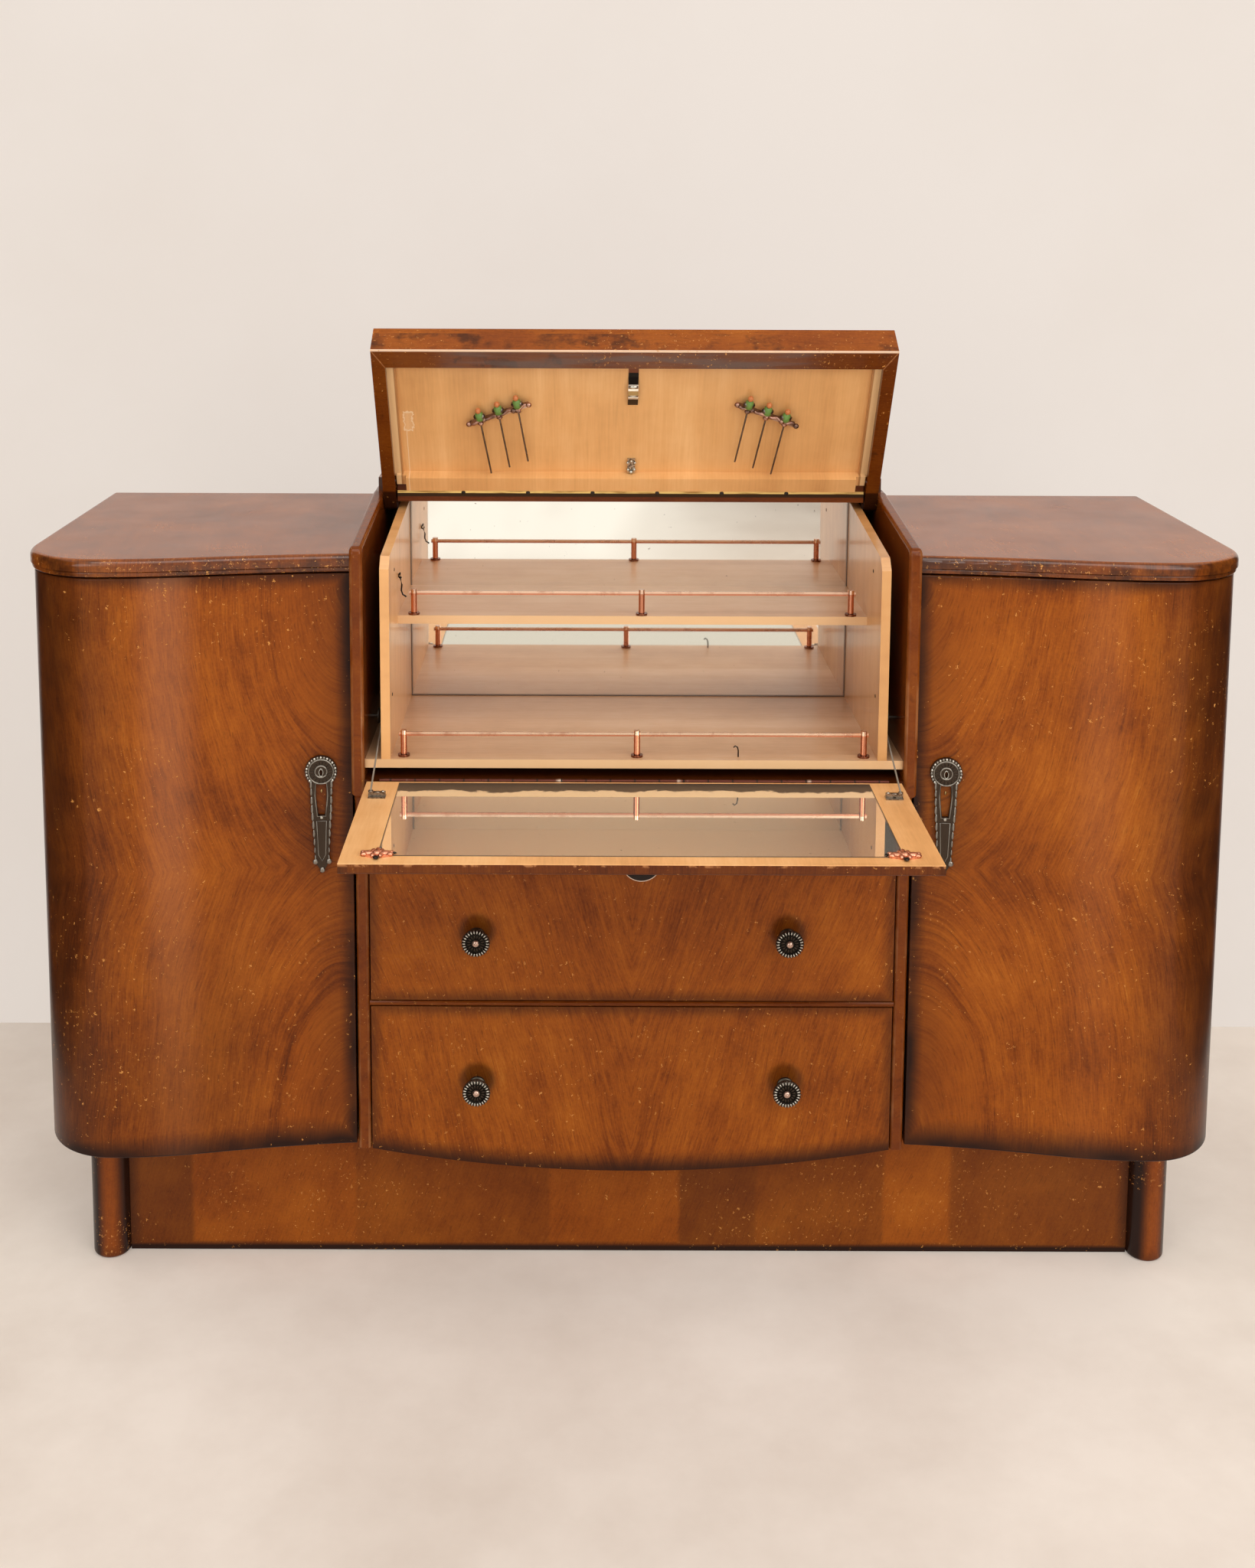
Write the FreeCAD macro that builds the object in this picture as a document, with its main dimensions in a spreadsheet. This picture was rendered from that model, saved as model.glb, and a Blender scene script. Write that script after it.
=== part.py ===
"""A bow-fronted bar cabinet: two side cupboards, a centre cocktail box whose lid rises as its
fall opens, and two drawers under it.  Millimetres; X right, Y back, Z up, floor at Z = 0.
It is drawn as it stands in use: fall down, lid up, doors and drawers shut."""
import FreeCAD, Part
import Sketcher
import math
import os

DOC = FreeCAD.newDocument("BarCabinet")
V = FreeCAD.Vector

# Driving sizes. Heights are from the floor. "Front" is the plane of the drawer fronts.
SIZES = {
    # The whole cabinet
    "overall_width": 1524,
    "cabinet_depth": 428,
    "side_top_height": 965,
    "side_top_thickness": 22,
    "plinth_height": 192,
    "board_thickness": 18,
    "back_thickness": 6,
    "tilt_angle": 5.3,

    # Curved side cupboards and their doors
    "top_overhang": 5,
    "top_bead_height": 7,
    "top_bead_setback": 2,
    "top_edge_round": 8,
    "corner_radius": 95,
    "bow_depth": 40,
    "bow_radius": 620,
    "bow_angle": 11,
    "return_angle": 5,
    "door_thickness": 18,
    "door_clearance": 2,
    "door_rear_edge": 148,
    "door_lap": 2,
    "door_edge_round": 2,
    "shelf_height": 560,
    "shelf_front": 70,
    "shelf_thickness": 16,
    "shelf_play": 1,
    "peg_radius": 4,
    "peg_reach": 14,
    "peg_inset": 60,

    # Centre uprights
    "upright_half_span": 351.5,
    "upright_thickness": 16.5,
    "front_lap": 10,
    "upright_projection": 28,
    "upright_rise": 13,
    "upright_corner_round": 10,
    "upright_edge_round": 5,
    "upright_step_below": 20,
    "upright_step_drop": 26,
    "upright_flat_depth": 263,

    # Drawers
    "drawer_side_gap": 1.5,
    "drawer_front_thickness": 18,
    "upper_drawer_height": 212,
    "lower_drawer_height": 193,
    "drawer_gap": 1.5,
    "apron_drop": 30,
    "drawer_travel": 290,
    "drawer_side_inset": 10,
    "drawer_side_thickness": 10,
    "drawer_depth": 372,
    "drawer_side_top_gap": 14,
    "drawer_bottom_thickness": 5,
    "drawer_bottom_lift": 8,
    "upper_runner_lift": 15.7,
    "lower_runner_lift": 27.7,
    "runner_width": 17,
    "runner_height": 11,
    "runner_clearance": 0.3,
    "bead_rail_height": 6,
    "bead_rail_depth": 60,
    "bead_projection": 1.5,
    "knob_half_spacing": 198,
    "upper_knob_lift": 86,
    "lower_knob_lift": 88,
    "knob_radius": 17.5,
    "knob_rim": 5,
    "knob_reach": 25,
    "knob_foot_radius": 11,
    "knob_foot_thickness": 3,
    "knob_neck_radius": 7,
    "knob_boss_radius": 4.5,
    "knob_boss_height": 4,

    # Cocktail box
    "box_side_gap": 20,
    "box_side_thickness": 11.5,
    "box_setback": -18,
    "box_depth": 280,
    "box_floor_lift": 13,
    "box_floor_thickness": 11,
    "box_side_drop": 16,
    "box_chamfer": 13,
    "box_back_thickness": 10,
    "box_mirror_thickness": 4,
    "box_shelf_lift": 158,
    "box_shelf_thickness": 11,
    "box_shelf_front": 84,
    "gallery_lift": 26,
    "gallery_inset": 7,
    "gallery_end_gap": 20.5,
    "lower_gallery_end_gap": 15.5,
    "gallery_rail_width": 2.5,
    "gallery_rail_height": 5,
    "gallery_post_radius": 4,
    "gallery_post_rise": 2.5,
    "gallery_collar_radius": 7.5,
    "gallery_collar_height": 2.5,
    "upper_centre_post_shift": 12,
    "lower_centre_post_shift": 4,
    "gallery_end_overrun": 6,
    "lower_gallery_setback": 14,

    # Fall rail, fall and its hinge
    "fall_rail_gap": 3,
    "fall_rail_step_drop": 39,
    "fall_axis_forward": 29,
    "fall_axis_lift": 85,
    "fall_length": 268,
    "fall_side_gap": 3.5,
    "fall_thickness": 13,
    "fall_edge_round": 4,
    "fall_lining_thickness": 1,
    "mirror_side_margin": 40.5,
    "mirror_front_margin": 22,
    "mirror_rear_margin": 7,
    "fall_mirror_thickness": 4,
    "hinge_end_margin": 15.5,
    "hinge_knuckle_radius": 3.2,
    "hinge_leaf_thickness": 1,
    "hinge_leaf_offset": 2.6,
    "hinge_leaf_width": 12,
    "hinge_pin_radius": 1.3,
    "hinge_pin_play": 0.08,
    "hinge_gap": 0.4,
    "clip_length": 34,
    "clip_width": 11,
    "clip_thickness": 2.5,
    "bracket_inner_reach": 18,
    "bracket_outer_reach": 3,
    "bracket_distance": 58,
    "bracket_depth": 12,
    "bracket_height": 7,
    "bracket_wall": 1.5,
    "pull_half_width": 17,
    "pull_depth": 14,
    "pull_drop": 8,

    # Lid, turned about pins at its rear
    "lid_open_angle": 57.7,
    "lid_travel_angle": 63,
    "lid_pivot_back": 225,
    "lid_pivot_rise": 15,
    "lid_arm_length": 35,
    "lid_pivot_lift": 14,
    "lid_length": 232,
    "lid_side_gap": 1,
    "lid_height": 48,
    "lid_top_thickness": 12,
    "lid_edge_round": 3,
    "lid_side_width": 17,
    "lid_front_width": 28,
    "lid_rear_width": 12,
    "lid_rear_overhang": 7,
    "lid_ledge_clearance": 1.5,
    "lid_ledge_end_rise": 6,
    "lid_ledge_end_gap": 0.6,
    "lid_lip_length": 6.5,
    "lid_lip_height": 5,
    "lid_recess": 15,
    "lining_thickness": 4,
    "lining_fillet_width": 11,
    "lining_fillet_height": 5,
    "lid_pin_radius": 3,
    "lid_pin_play": 0.08,
    "lid_pin_depth": 10,
    "washer_radius": 8,
    "washer_thickness": 0.6,
    "arm_thickness": 1.5,
    "arm_width": 12,
    "arm_tail_length": 76.5,
    "arm_tail_angle": 38,
    "arm_lead": 22,
    "arm_eye_share": 0.94,

    # Fixed top behind the lid
    "hinge_rail_start": 206,
    "hinge_rail_drop": 8.5,
    "rear_top_start": 243,
    "rear_top_side_inset": 6.5,
    "rear_top_thickness": 18,
    "brass_strip_lift": 7,
    "brass_strip_height": 8,
    "brass_strip_thickness": 1,

    # Lifting cords and pulleys
    "cord_radius": 1.1,
    "cord_side_gap": 15,
    "cord_knee_radius": 9.33,
    "cord_knee_angle": 34,
    "cord_knee_gap": 0.45,
    "pulley_back": 34,
    "pulley_lift": 64,
    "pulley_radius": 10,
    "pulley_groove_depth": 2.5,
    "pulley_half_width": 4,
    "pulley_pin_radius": 2,
    "pulley_pin_play": 0.08,

    # Plinth and legs
    "plinth_setback": 62,
    "plinth_half_width": 666,
    "plinth_thickness": 18,
    "plinth_clearance": 1.5,
    "plinth_back_inset": 12,
    "leg_radius": 25,
    "leg_back": 65,
    "leg_foot_round": 6,
    "rear_foot_width": 45,

    # Door pulls, locks and hinges
    "pull_plate_inset": 40.5,
    "pull_head_height": 689,
    "pull_head_radius": 20,
    "pull_plate_thickness": 5,
    "pull_grip_half_width": 13,
    "pull_grip_end": 62,
    "pull_waist_half_width": 11,
    "pull_tail_half_width": 8.5,
    "pull_tail_end": 118,
    "pull_tip_end": 132,
    "pull_slot_half_width": 6.5,
    "pull_slot_top": 16,
    "pull_slot_bottom": 57,
    "keyhole_radius": 2.2,
    "keyhole_drop": 6,
    "lock_half_width": 18,
    "lock_half_height": 30,
    "lock_thickness": 10,
    "door_hinge_radius": 2.2,
    "door_hinge_leaf": 0.8,
    "door_hinge_offset": 0.2,
    "door_hinge_width": 15,
    "door_hinge_length": 60,
    "door_hinge_inset": 90,

    # Cocktail picks held in the lid
    "pick_radius": 1.2,
    "pick_length": 95,
    "pick_spacing": 27,
    "pick_slant_angle": 7.5,
    "rack_slant_angle": 23.5,
    "rack_centre": 175,
    "rack_along": 121,
    "rack_length": 84,
    "rack_width": 4,
    "rack_height": 7,
    "bird_radius": 5,
    "bird_length": 16,
    "latch_along": 195,
    "latch_length": 62,
    "latch_width": 13,
    "latch_thickness": 1.2,
    "catch_along": 29,
    "catch_width": 10,
    "catch_length": 22,
    "catch_height": 4,

    # One overrun serves every cut, one margin and one match every choice of edges
    "overrun": 5,
    "edge_margin": 1,
    "edge_match": 0.01,
}

SHEET = DOC.addObject("Spreadsheet::Sheet", "Sizes")
for row, (alias, number) in enumerate(SIZES.items(), start=1):
    SHEET.set("A%d" % row, alias.replace("_", " "))
    SHEET.set("B%d" % row, str(number))
    SHEET.setAlias("B%d" % row, alias)
DOC.recompute()


class Size:
    """A number with the sheet expression that gives it, so that a sum of sizes stays linked."""

    def __init__(self, value, text):
        self.value = value
        self.text = text

    def __add__(self, other):
        other = as_size(other)
        return Size(self.value + other.value, "(%s + %s)" % (self.text, other.text))

    def __sub__(self, other):
        other = as_size(other)
        return Size(self.value - other.value, "(%s - %s)" % (self.text, other.text))

    def __mul__(self, other):
        other = as_size(other)
        return Size(self.value * other.value, "(%s * %s)" % (self.text, other.text))

    def __truediv__(self, other):
        other = as_size(other)
        return Size(self.value / other.value, "(%s / %s)" % (self.text, other.text))

    def __neg__(self):
        return as_size(0) - self


def as_size(number):
    return number if isinstance(number, Size) else Size(float(number), repr(float(number)))


def sine(angle):
    return Size(math.sin(math.radians(angle.value)), "sin(%s)" % angle.text)


def cosine(angle):
    return Size(math.cos(math.radians(angle.value)), "cos(%s)" % angle.text)


def tangent(angle):
    return sine(angle) / cosine(angle)


def root(square):
    return Size(math.sqrt(square.value), "sqrt(%s)" % square.text)


def turn_to(rise_y, rise_z):
    """The angle about -X that swings +Z onto a direction in the YZ plane."""
    angle = math.degrees(math.atan2(rise_y.value, rise_z.value))
    return Size(angle, "atan2(%s; %s)" % (rise_y.text, rise_z.text))


class Names:
    pass


s = Names()
for alias, number in SIZES.items():
    setattr(s, alias, Size(float(number), "Sizes." + alias))

ZERO = as_size(0)
MATCH = s.edge_match.value
NODES = []
SHARED = {
    "cupboard_floors": [],
    "back_boards": [],
    "cupboard_shelves": [],
    "shelf_pegs": [],
    "drawer_runners": [],
    "plinth_frame": [],
    "front_legs": [],
    "door_hinge_leaves_carcase": [],
    "gallery_rails": [],
    "lid_arms": [],
    "pivot_pins": [],
    "pick_racks": [],
    "cocktail_picks": [],
    "lid_latch": [],
    "fall_cords": [],
    "lid_cords": [],
}
SIDES = (("left", -1), ("right", 1))


def bind(item, prop, size):
    item.setExpression(prop, size.text)


def place(item, base, axis=(0, 0, 1), angle=ZERO):
    """Puts an object at a point, turned about an axis, and keeps both linked to the sheet."""
    point = [as_size(value) for value in base]
    turn = FreeCAD.Rotation(V(*axis), angle.value)
    item.Placement = FreeCAD.Placement(V(*[value.value for value in point]), turn)
    for letter, value in zip("xyz", point):
        bind(item, "Placement.Base." + letter, value)
    if angle.text != ZERO.text:
        bind(item, "Placement.Rotation.Angle", angle)
    return item


def keep(item, node):
    """Marks a finished sub-part, whose label names its file."""
    item.Label = node
    NODES.append(item)
    return item


def box(name, x, y, z):
    """A rectangular block between low and high values along each axis."""
    item = DOC.addObject("Part::Box", name)
    for prop, (low, high) in zip(("Length", "Width", "Height"), (x, y, z)):
        setattr(item, prop, (as_size(high) - low).value)
        bind(item, prop, as_size(high) - low)
    return place(item, (x[0], y[0], z[0]))


AXIS_TURNS = {"x": ((0, 1, 0), 90), "y": ((1, 0, 0), -90), "z": ((0, 0, 1), 0)}


def cylinder(name, radius, start, length, axis):
    """A round bar from a start point along +X, +Y or +Z."""
    item = DOC.addObject("Part::Cylinder", name)
    item.Radius = radius.value
    item.Height = length.value
    bind(item, "Radius", radius)
    bind(item, "Height", length)
    direction, degrees = AXIS_TURNS[axis]
    place(item, start)
    item.Placement = FreeCAD.Placement(item.Placement.Base, FreeCAD.Rotation(V(*direction), degrees))
    return item


def rod(name, radius, side_x, start, end):
    """A round bar between two points of a YZ plane, each given as (y, z)."""
    rise_y = end[0] - start[0]
    rise_z = end[1] - start[1]
    item = DOC.addObject("Part::Cylinder", name)
    length = root(rise_y * rise_y + rise_z * rise_z)
    item.Radius = radius.value
    item.Height = length.value
    bind(item, "Radius", radius)
    bind(item, "Height", length)
    return place(item, (side_x, start[0], start[1]), (-1, 0, 0), turn_to(rise_y, rise_z))


def fuse(name, items):
    item = DOC.addObject("Part::MultiFuse", name)
    item.Shapes = items
    return item


def group(name, items):
    """Identical or matching separate solids that share one node."""
    item = DOC.addObject("Part::Compound", name)
    item.Links = items
    return item


def cut(name, base, tools):
    """A base with one or more tools taken out."""
    tool = tools[0] if len(tools) == 1 else fuse(name + "_tools", tools)
    item = DOC.addObject("Part::Cut", name)
    item.Base = base
    item.Tool = tool
    return item


PLANES = {"XY": "XY_Plane", "XZ": "XZ_Plane", "YZ": "YZ_Plane"}


def draw(sketch, outline):
    """Draws a closed outline whose corners are fixed by linked distances from the origin.
    A corner is (u, v) before a straight side, or (u, v, radius, side) before an arc whose
    centre lies on the left (1) or the right (-1) of the way to the next corner."""
    count = len(outline)
    starts = []
    for index, corner in enumerate(outline):
        after = outline[(index + 1) % count]
        p = V(as_size(corner[0]).value, as_size(corner[1]).value, 0)
        q = V(as_size(after[0]).value, as_size(after[1]).value, 0)
        if len(corner) == 2:
            sketch.addGeometry(Part.LineSegment(p, q), False)
            starts.append((1, 2))
            continue
        radius = corner[2].value
        chord = q - p
        reach = math.sqrt(max(radius ** 2 - (chord.Length / 2) ** 2, 0))
        normal = V(-chord.y, chord.x, 0).normalize()
        centre = (p + q) * 0.5 + normal * reach * corner[3]
        first, last = (p, q) if corner[3] > 0 else (q, p)
        angles = [math.atan2(point.y - centre.y, point.x - centre.x) for point in (first, last)]
        circle = Part.Circle(centre, V(0, 0, 1), radius)
        sketch.addGeometry(Part.ArcOfCircle(circle, angles[0], angles[1]), False)
        starts.append((1, 2) if corner[3] > 0 else (2, 1))
    for index in range(count):
        following = (index + 1) % count
        sketch.addConstraint(Sketcher.Constraint(
            "Coincident", index, starts[index][1], following, starts[following][0]))
    for index, corner in enumerate(outline):
        for kind, value in (("DistanceX", as_size(corner[0])), ("DistanceY", as_size(corner[1]))):
            number = sketch.addConstraint(Sketcher.Constraint(
                kind, -1, 1, index, starts[index][0], value.value))
            bind(sketch, "Constraints[%d]" % number, value)
        if len(corner) == 4:
            number = sketch.addConstraint(Sketcher.Constraint("Radius", index, corner[2].value))
            bind(sketch, "Constraints[%d]" % number, corner[2])


def add_sketch(body, name, plane, outline, offset):
    """A sketch on one of the body's own planes, moved along that plane's normal."""
    sketch = body.newObject("Sketcher::SketchObject", name)
    role = PLANES[plane]
    support = [item for item in body.Origin.OriginFeatures if item.Role == role][0]
    sketch.AttachmentSupport = (support, "")
    sketch.MapMode = "FlatFace"
    offset = as_size(offset)
    sketch.AttachmentOffset = FreeCAD.Placement(V(0, 0, offset.value), FreeCAD.Rotation())
    bind(sketch, "AttachmentOffset.Base.z", offset)
    draw(sketch, outline)
    return sketch


def prism(name, plane, outline, low, high):
    """A body padded from an outline, between two levels along the plane's axis."""
    low = as_size(low)
    high = as_size(high)
    body = DOC.addObject("PartDesign::Body", name)
    offset = -high if plane == "XZ" else low
    sketch = add_sketch(body, name + "_outline", plane, outline, offset)
    pad = body.newObject("PartDesign::Pad", name + "_pad")
    pad.Profile = sketch
    pad.Length = (high - low).value
    bind(pad, "Length", high - low)
    body.Tip = pad
    return body


def turned(name, outline):
    """A body turned about its own Z axis, from an outline of (radius, height) corners."""
    body = DOC.addObject("PartDesign::Body", name)
    sketch = add_sketch(body, name + "_outline", "XZ", outline, ZERO)
    revolution = body.newObject("PartDesign::Revolution", name + "_turn")
    revolution.Profile = sketch
    revolution.ReferenceAxis = (sketch, ["V_Axis"])
    revolution.Angle = 360
    body.Tip = revolution
    return body


def round_edges(body, radius, wanted):
    """Rounds the edges of the body's tip whose middle point the test accepts."""
    DOC.recompute()
    tip = body.Tip
    names = []
    for number, edge in enumerate(tip.Shape.Edges, start=1):
        middle = edge.valueAt((edge.FirstParameter + edge.LastParameter) / 2)
        if wanted(edge, middle):
            names.append("Edge%d" % number)
    fillet = body.newObject("PartDesign::Fillet", body.Name + "_round")
    fillet.Base = (tip, names)
    fillet.Radius = radius.value
    bind(fillet, "Radius", radius)
    body.Tip = fillet
    return body


def mirrored(outline, side):
    """The outline as drawn, or its mirror image in X for the left-hand piece."""
    if side > 0:
        return outline
    return [(-as_size(c[0]), c[1]) + ((c[2], -c[3]) if len(c) == 4 else ()) for c in outline]


def span(side, inner, outer):
    """Low and high X of something between two distances from the middle, on one side."""
    return (inner, outer) if side > 0 else (-as_size(outer), -as_size(inner))


# Levels, from the floor up
LOWER_DRAWER_BOTTOM = s.plinth_height - s.front_lap
LOWER_DRAWER_TOP = LOWER_DRAWER_BOTTOM + s.lower_drawer_height
BEAD_RAIL_BOTTOM = LOWER_DRAWER_TOP + s.drawer_gap
BEAD_RAIL_TOP = BEAD_RAIL_BOTTOM + s.bead_rail_height
UPPER_DRAWER_BOTTOM = BEAD_RAIL_TOP + s.drawer_gap
UPPER_DRAWER_TOP = UPPER_DRAWER_BOTTOM + s.upper_drawer_height
LOWER_KNOB_HEIGHT = LOWER_DRAWER_BOTTOM + s.lower_knob_lift
UPPER_KNOB_HEIGHT = UPPER_DRAWER_BOTTOM + s.upper_knob_lift
LOWER_RUNNER_TOP = LOWER_DRAWER_BOTTOM + s.lower_runner_lift
UPPER_RUNNER_TOP = UPPER_DRAWER_BOTTOM + s.upper_runner_lift
FALL_RAIL_BOTTOM = UPPER_DRAWER_TOP + s.fall_rail_gap
FALL_AXIS_Z = FALL_RAIL_BOTTOM + s.fall_axis_lift
FALL_RAIL_STEP = FALL_AXIS_Z - s.fall_rail_step_drop
BOX_FLOOR = FALL_AXIS_Z + s.box_floor_lift
BOX_SHELF = BOX_FLOOR + s.box_shelf_lift
PULLEY_Z = FALL_AXIS_Z + s.pulley_lift
DOOR_BOTTOM = s.plinth_height - s.door_lap
UPRIGHT_BOTTOM = s.plinth_height - s.front_lap
UPRIGHT_STEP = FALL_AXIS_Z - s.upright_step_below
UPRIGHT_FRONT = s.side_top_height + s.upright_rise
BOX_SIDE_FRONT = UPRIGHT_FRONT - s.box_side_drop
PIVOT_Z = UPRIGHT_FRONT + s.lid_pivot_rise

# Main planes
FRONT = (s.fall_axis_forward + s.fall_length - s.cabinet_depth) / 2
BACK = FRONT + s.cabinet_depth
BACK_FACE = BACK - s.back_thickness
UPRIGHT_INNER = s.upright_half_span - s.upright_thickness
BOX_HALF = UPRIGHT_INNER - s.box_side_gap
CORD_SIDE = UPRIGHT_INNER - s.cord_side_gap
BRACKET_INNER = CORD_SIDE - s.bracket_inner_reach
BRACKET_OUTER = CORD_SIDE + s.bracket_outer_reach
FALL_HALF = UPRIGHT_INNER - s.fall_side_gap
MIRROR_HALF = FALL_HALF - s.mirror_side_margin
HINGE_HALF = FALL_HALF - s.hinge_end_margin
LID_HALF = UPRIGHT_INNER - s.lid_side_gap
REAR_TOP_HALF = s.upright_half_span - s.rear_top_side_inset
PULL_SIDE = s.upright_half_span + s.pull_plate_inset
UNDER_TOP = s.side_top_height - s.side_top_thickness
DOOR_HALF_WIDTH = s.overall_width / 2 - s.top_overhang
SKIN = s.door_thickness + s.door_clearance
SLOPE = tangent(s.tilt_angle)
FALL_AXIS_Y = FRONT - s.fall_axis_forward
FALL_FRONT = FALL_AXIS_Y - s.fall_length
BOX_FRONT = FRONT + s.box_setback
BOX_BACK = BOX_FRONT + s.box_depth
BOX_FLOOR_TOP = BOX_FLOOR + s.box_floor_thickness
BOX_INNER = BOX_HALF - s.box_side_thickness
GALLERY_HALF = BOX_INNER - s.gallery_end_gap
LOWER_GALLERY_HALF = BOX_INNER - s.lower_gallery_end_gap
UPRIGHT_REAR_HEIGHT = UPRIGHT_FRONT + s.upright_flat_depth * SLOPE
PIVOT_Y = FRONT + s.lid_pivot_back
MIRROR_FACE = BOX_BACK - s.box_mirror_thickness


def bow(inset):
    """Sizes of the curved plan, set in from the door's outer face: the corner's centre and
    radius, then the two curves of the serpentine front and the point where they meet."""
    centre_x = DOOR_HALF_WIDTH - s.corner_radius
    centre_y = FRONT - s.bow_depth + s.corner_radius
    corner = s.corner_radius - inset
    out_radius = s.bow_radius - inset
    reach = centre_x - s.upright_half_span - s.door_clearance
    hollow = (reach - s.bow_radius * sine(s.bow_angle)) / (sine(s.bow_angle) - sine(s.return_angle))
    in_radius = hollow + inset
    meet_x = centre_x - out_radius * sine(s.bow_angle)
    meet_y = centre_y - corner + out_radius * (as_size(1) - cosine(s.bow_angle))
    far_x = meet_x - in_radius * sine(s.bow_angle)
    far_y = meet_y - in_radius * cosine(s.bow_angle)
    return centre_x, centre_y, corner, out_radius, in_radius, meet_x, meet_y, far_x, far_y


def bow_y(inset, x):
    """Where the hollow part of the front crosses a distance from the middle."""
    in_radius, far_x, far_y = bow(inset)[4], bow(inset)[7], bow(inset)[8]
    return far_y + root(in_radius * in_radius - (x - far_x) * (x - far_x))


def bow_outline(inset, inner_x, back_y):
    """A board that follows the curved plan, from the side round to the inner edge."""
    inset = as_size(inset)
    centre_x, centre_y, corner, out_radius, in_radius, meet_x, meet_y, far_x, far_y = bow(inset)
    return [
        (inner_x, back_y),
        (inner_x, bow_y(inset, inner_x), in_radius, -1),
        (meet_x, meet_y, out_radius, 1),
        (centre_x, centre_y - corner, corner, 1),
        (centre_x + corner, centre_y),
        (centre_x + corner, back_y),
    ]


def make_side_cupboard(name, side):
    inner = s.upright_half_span
    edge = s.top_bead_height
    upper = prism("top_slab_" + name, "XY",
                  mirrored(bow_outline(-s.top_overhang, inner, BACK), side),
                  UNDER_TOP + edge, s.side_top_height)
    top_level = s.side_top_height.value
    inner_x = (inner + s.edge_margin).value
    back_y = (BACK - s.edge_margin).value
    round_edges(upper, s.top_edge_round, lambda e, m: abs(m.z - top_level) < MATCH
                and abs(m.x) > inner_x and m.y < back_y)
    lower = prism("top_bead_" + name, "XY",
                  mirrored(bow_outline(s.top_bead_setback - s.top_overhang, inner, BACK), side),
                  UNDER_TOP, UNDER_TOP + edge)
    round_edges(lower, edge / 3, lambda e, m: abs(m.z - UNDER_TOP.value - edge.value / 2)
                > edge.value * 0.4 and abs(m.x) > inner_x and m.y < back_y)
    keep(fuse("side_top_" + name, [upper, lower]), "top_" + name)

    bottom = bow_outline(SKIN, inner, BACK_FACE)
    SHARED["cupboard_floors"].append(
        prism("floor_" + name, "XY", mirrored(bottom, side), s.plinth_height,
              s.plinth_height + s.board_thickness))

    rear_edge = FRONT + s.door_rear_edge + s.door_clearance
    outer = DOOR_HALF_WIDTH
    keep(box("end_" + name, span(side, outer - SKIN, outer), (rear_edge, BACK),
             (s.plinth_height, UNDER_TOP)), "end_panel_" + name)
    SHARED["back_boards"].append(
        box("back_" + name, span(side, inner, outer - SKIN), (BACK_FACE, BACK),
            (s.plinth_height, UNDER_TOP)))

    play = s.shelf_play
    SHARED["cupboard_shelves"].append(
        box("shelf_board_" + name, span(side, inner + play, outer - SKIN - play),
            (FRONT + s.shelf_front, BACK_FACE - play),
            (s.shelf_height, s.shelf_height + s.shelf_thickness)))
    for place_name, y in (("front", rear_edge + s.peg_inset / 2),
                          ("rear", BACK_FACE - s.peg_inset)):
        for wall, low in (("in", inner), ("out", outer - SKIN - s.peg_reach)):
            x = low if side > 0 else -(low + s.peg_reach)
            SHARED["shelf_pegs"].append(
                cylinder("peg_%s_%s_%s" % (place_name, wall, name), s.peg_radius,
                         (x, y, s.shelf_height - s.peg_radius), s.peg_reach, "x"))


def door_outline():
    """The door's plan: its outer face, its inner face and its two square ends."""
    inner_x = s.upright_half_span + s.door_clearance
    rear = FRONT + s.door_rear_edge
    out = bow_outline(ZERO, inner_x, rear)
    skin = bow_outline(s.door_thickness, inner_x, rear)
    inner_face = bow(s.door_thickness)
    return out[1:6] + [
        (skin[5][0], rear),
        (skin[4][0], skin[4][1], s.corner_radius - s.door_thickness, -1),
        (skin[3][0], skin[3][1], inner_face[3], -1),
        (skin[2][0], skin[2][1], inner_face[4], 1),
        (skin[1][0], skin[1][1]),
    ]


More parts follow.
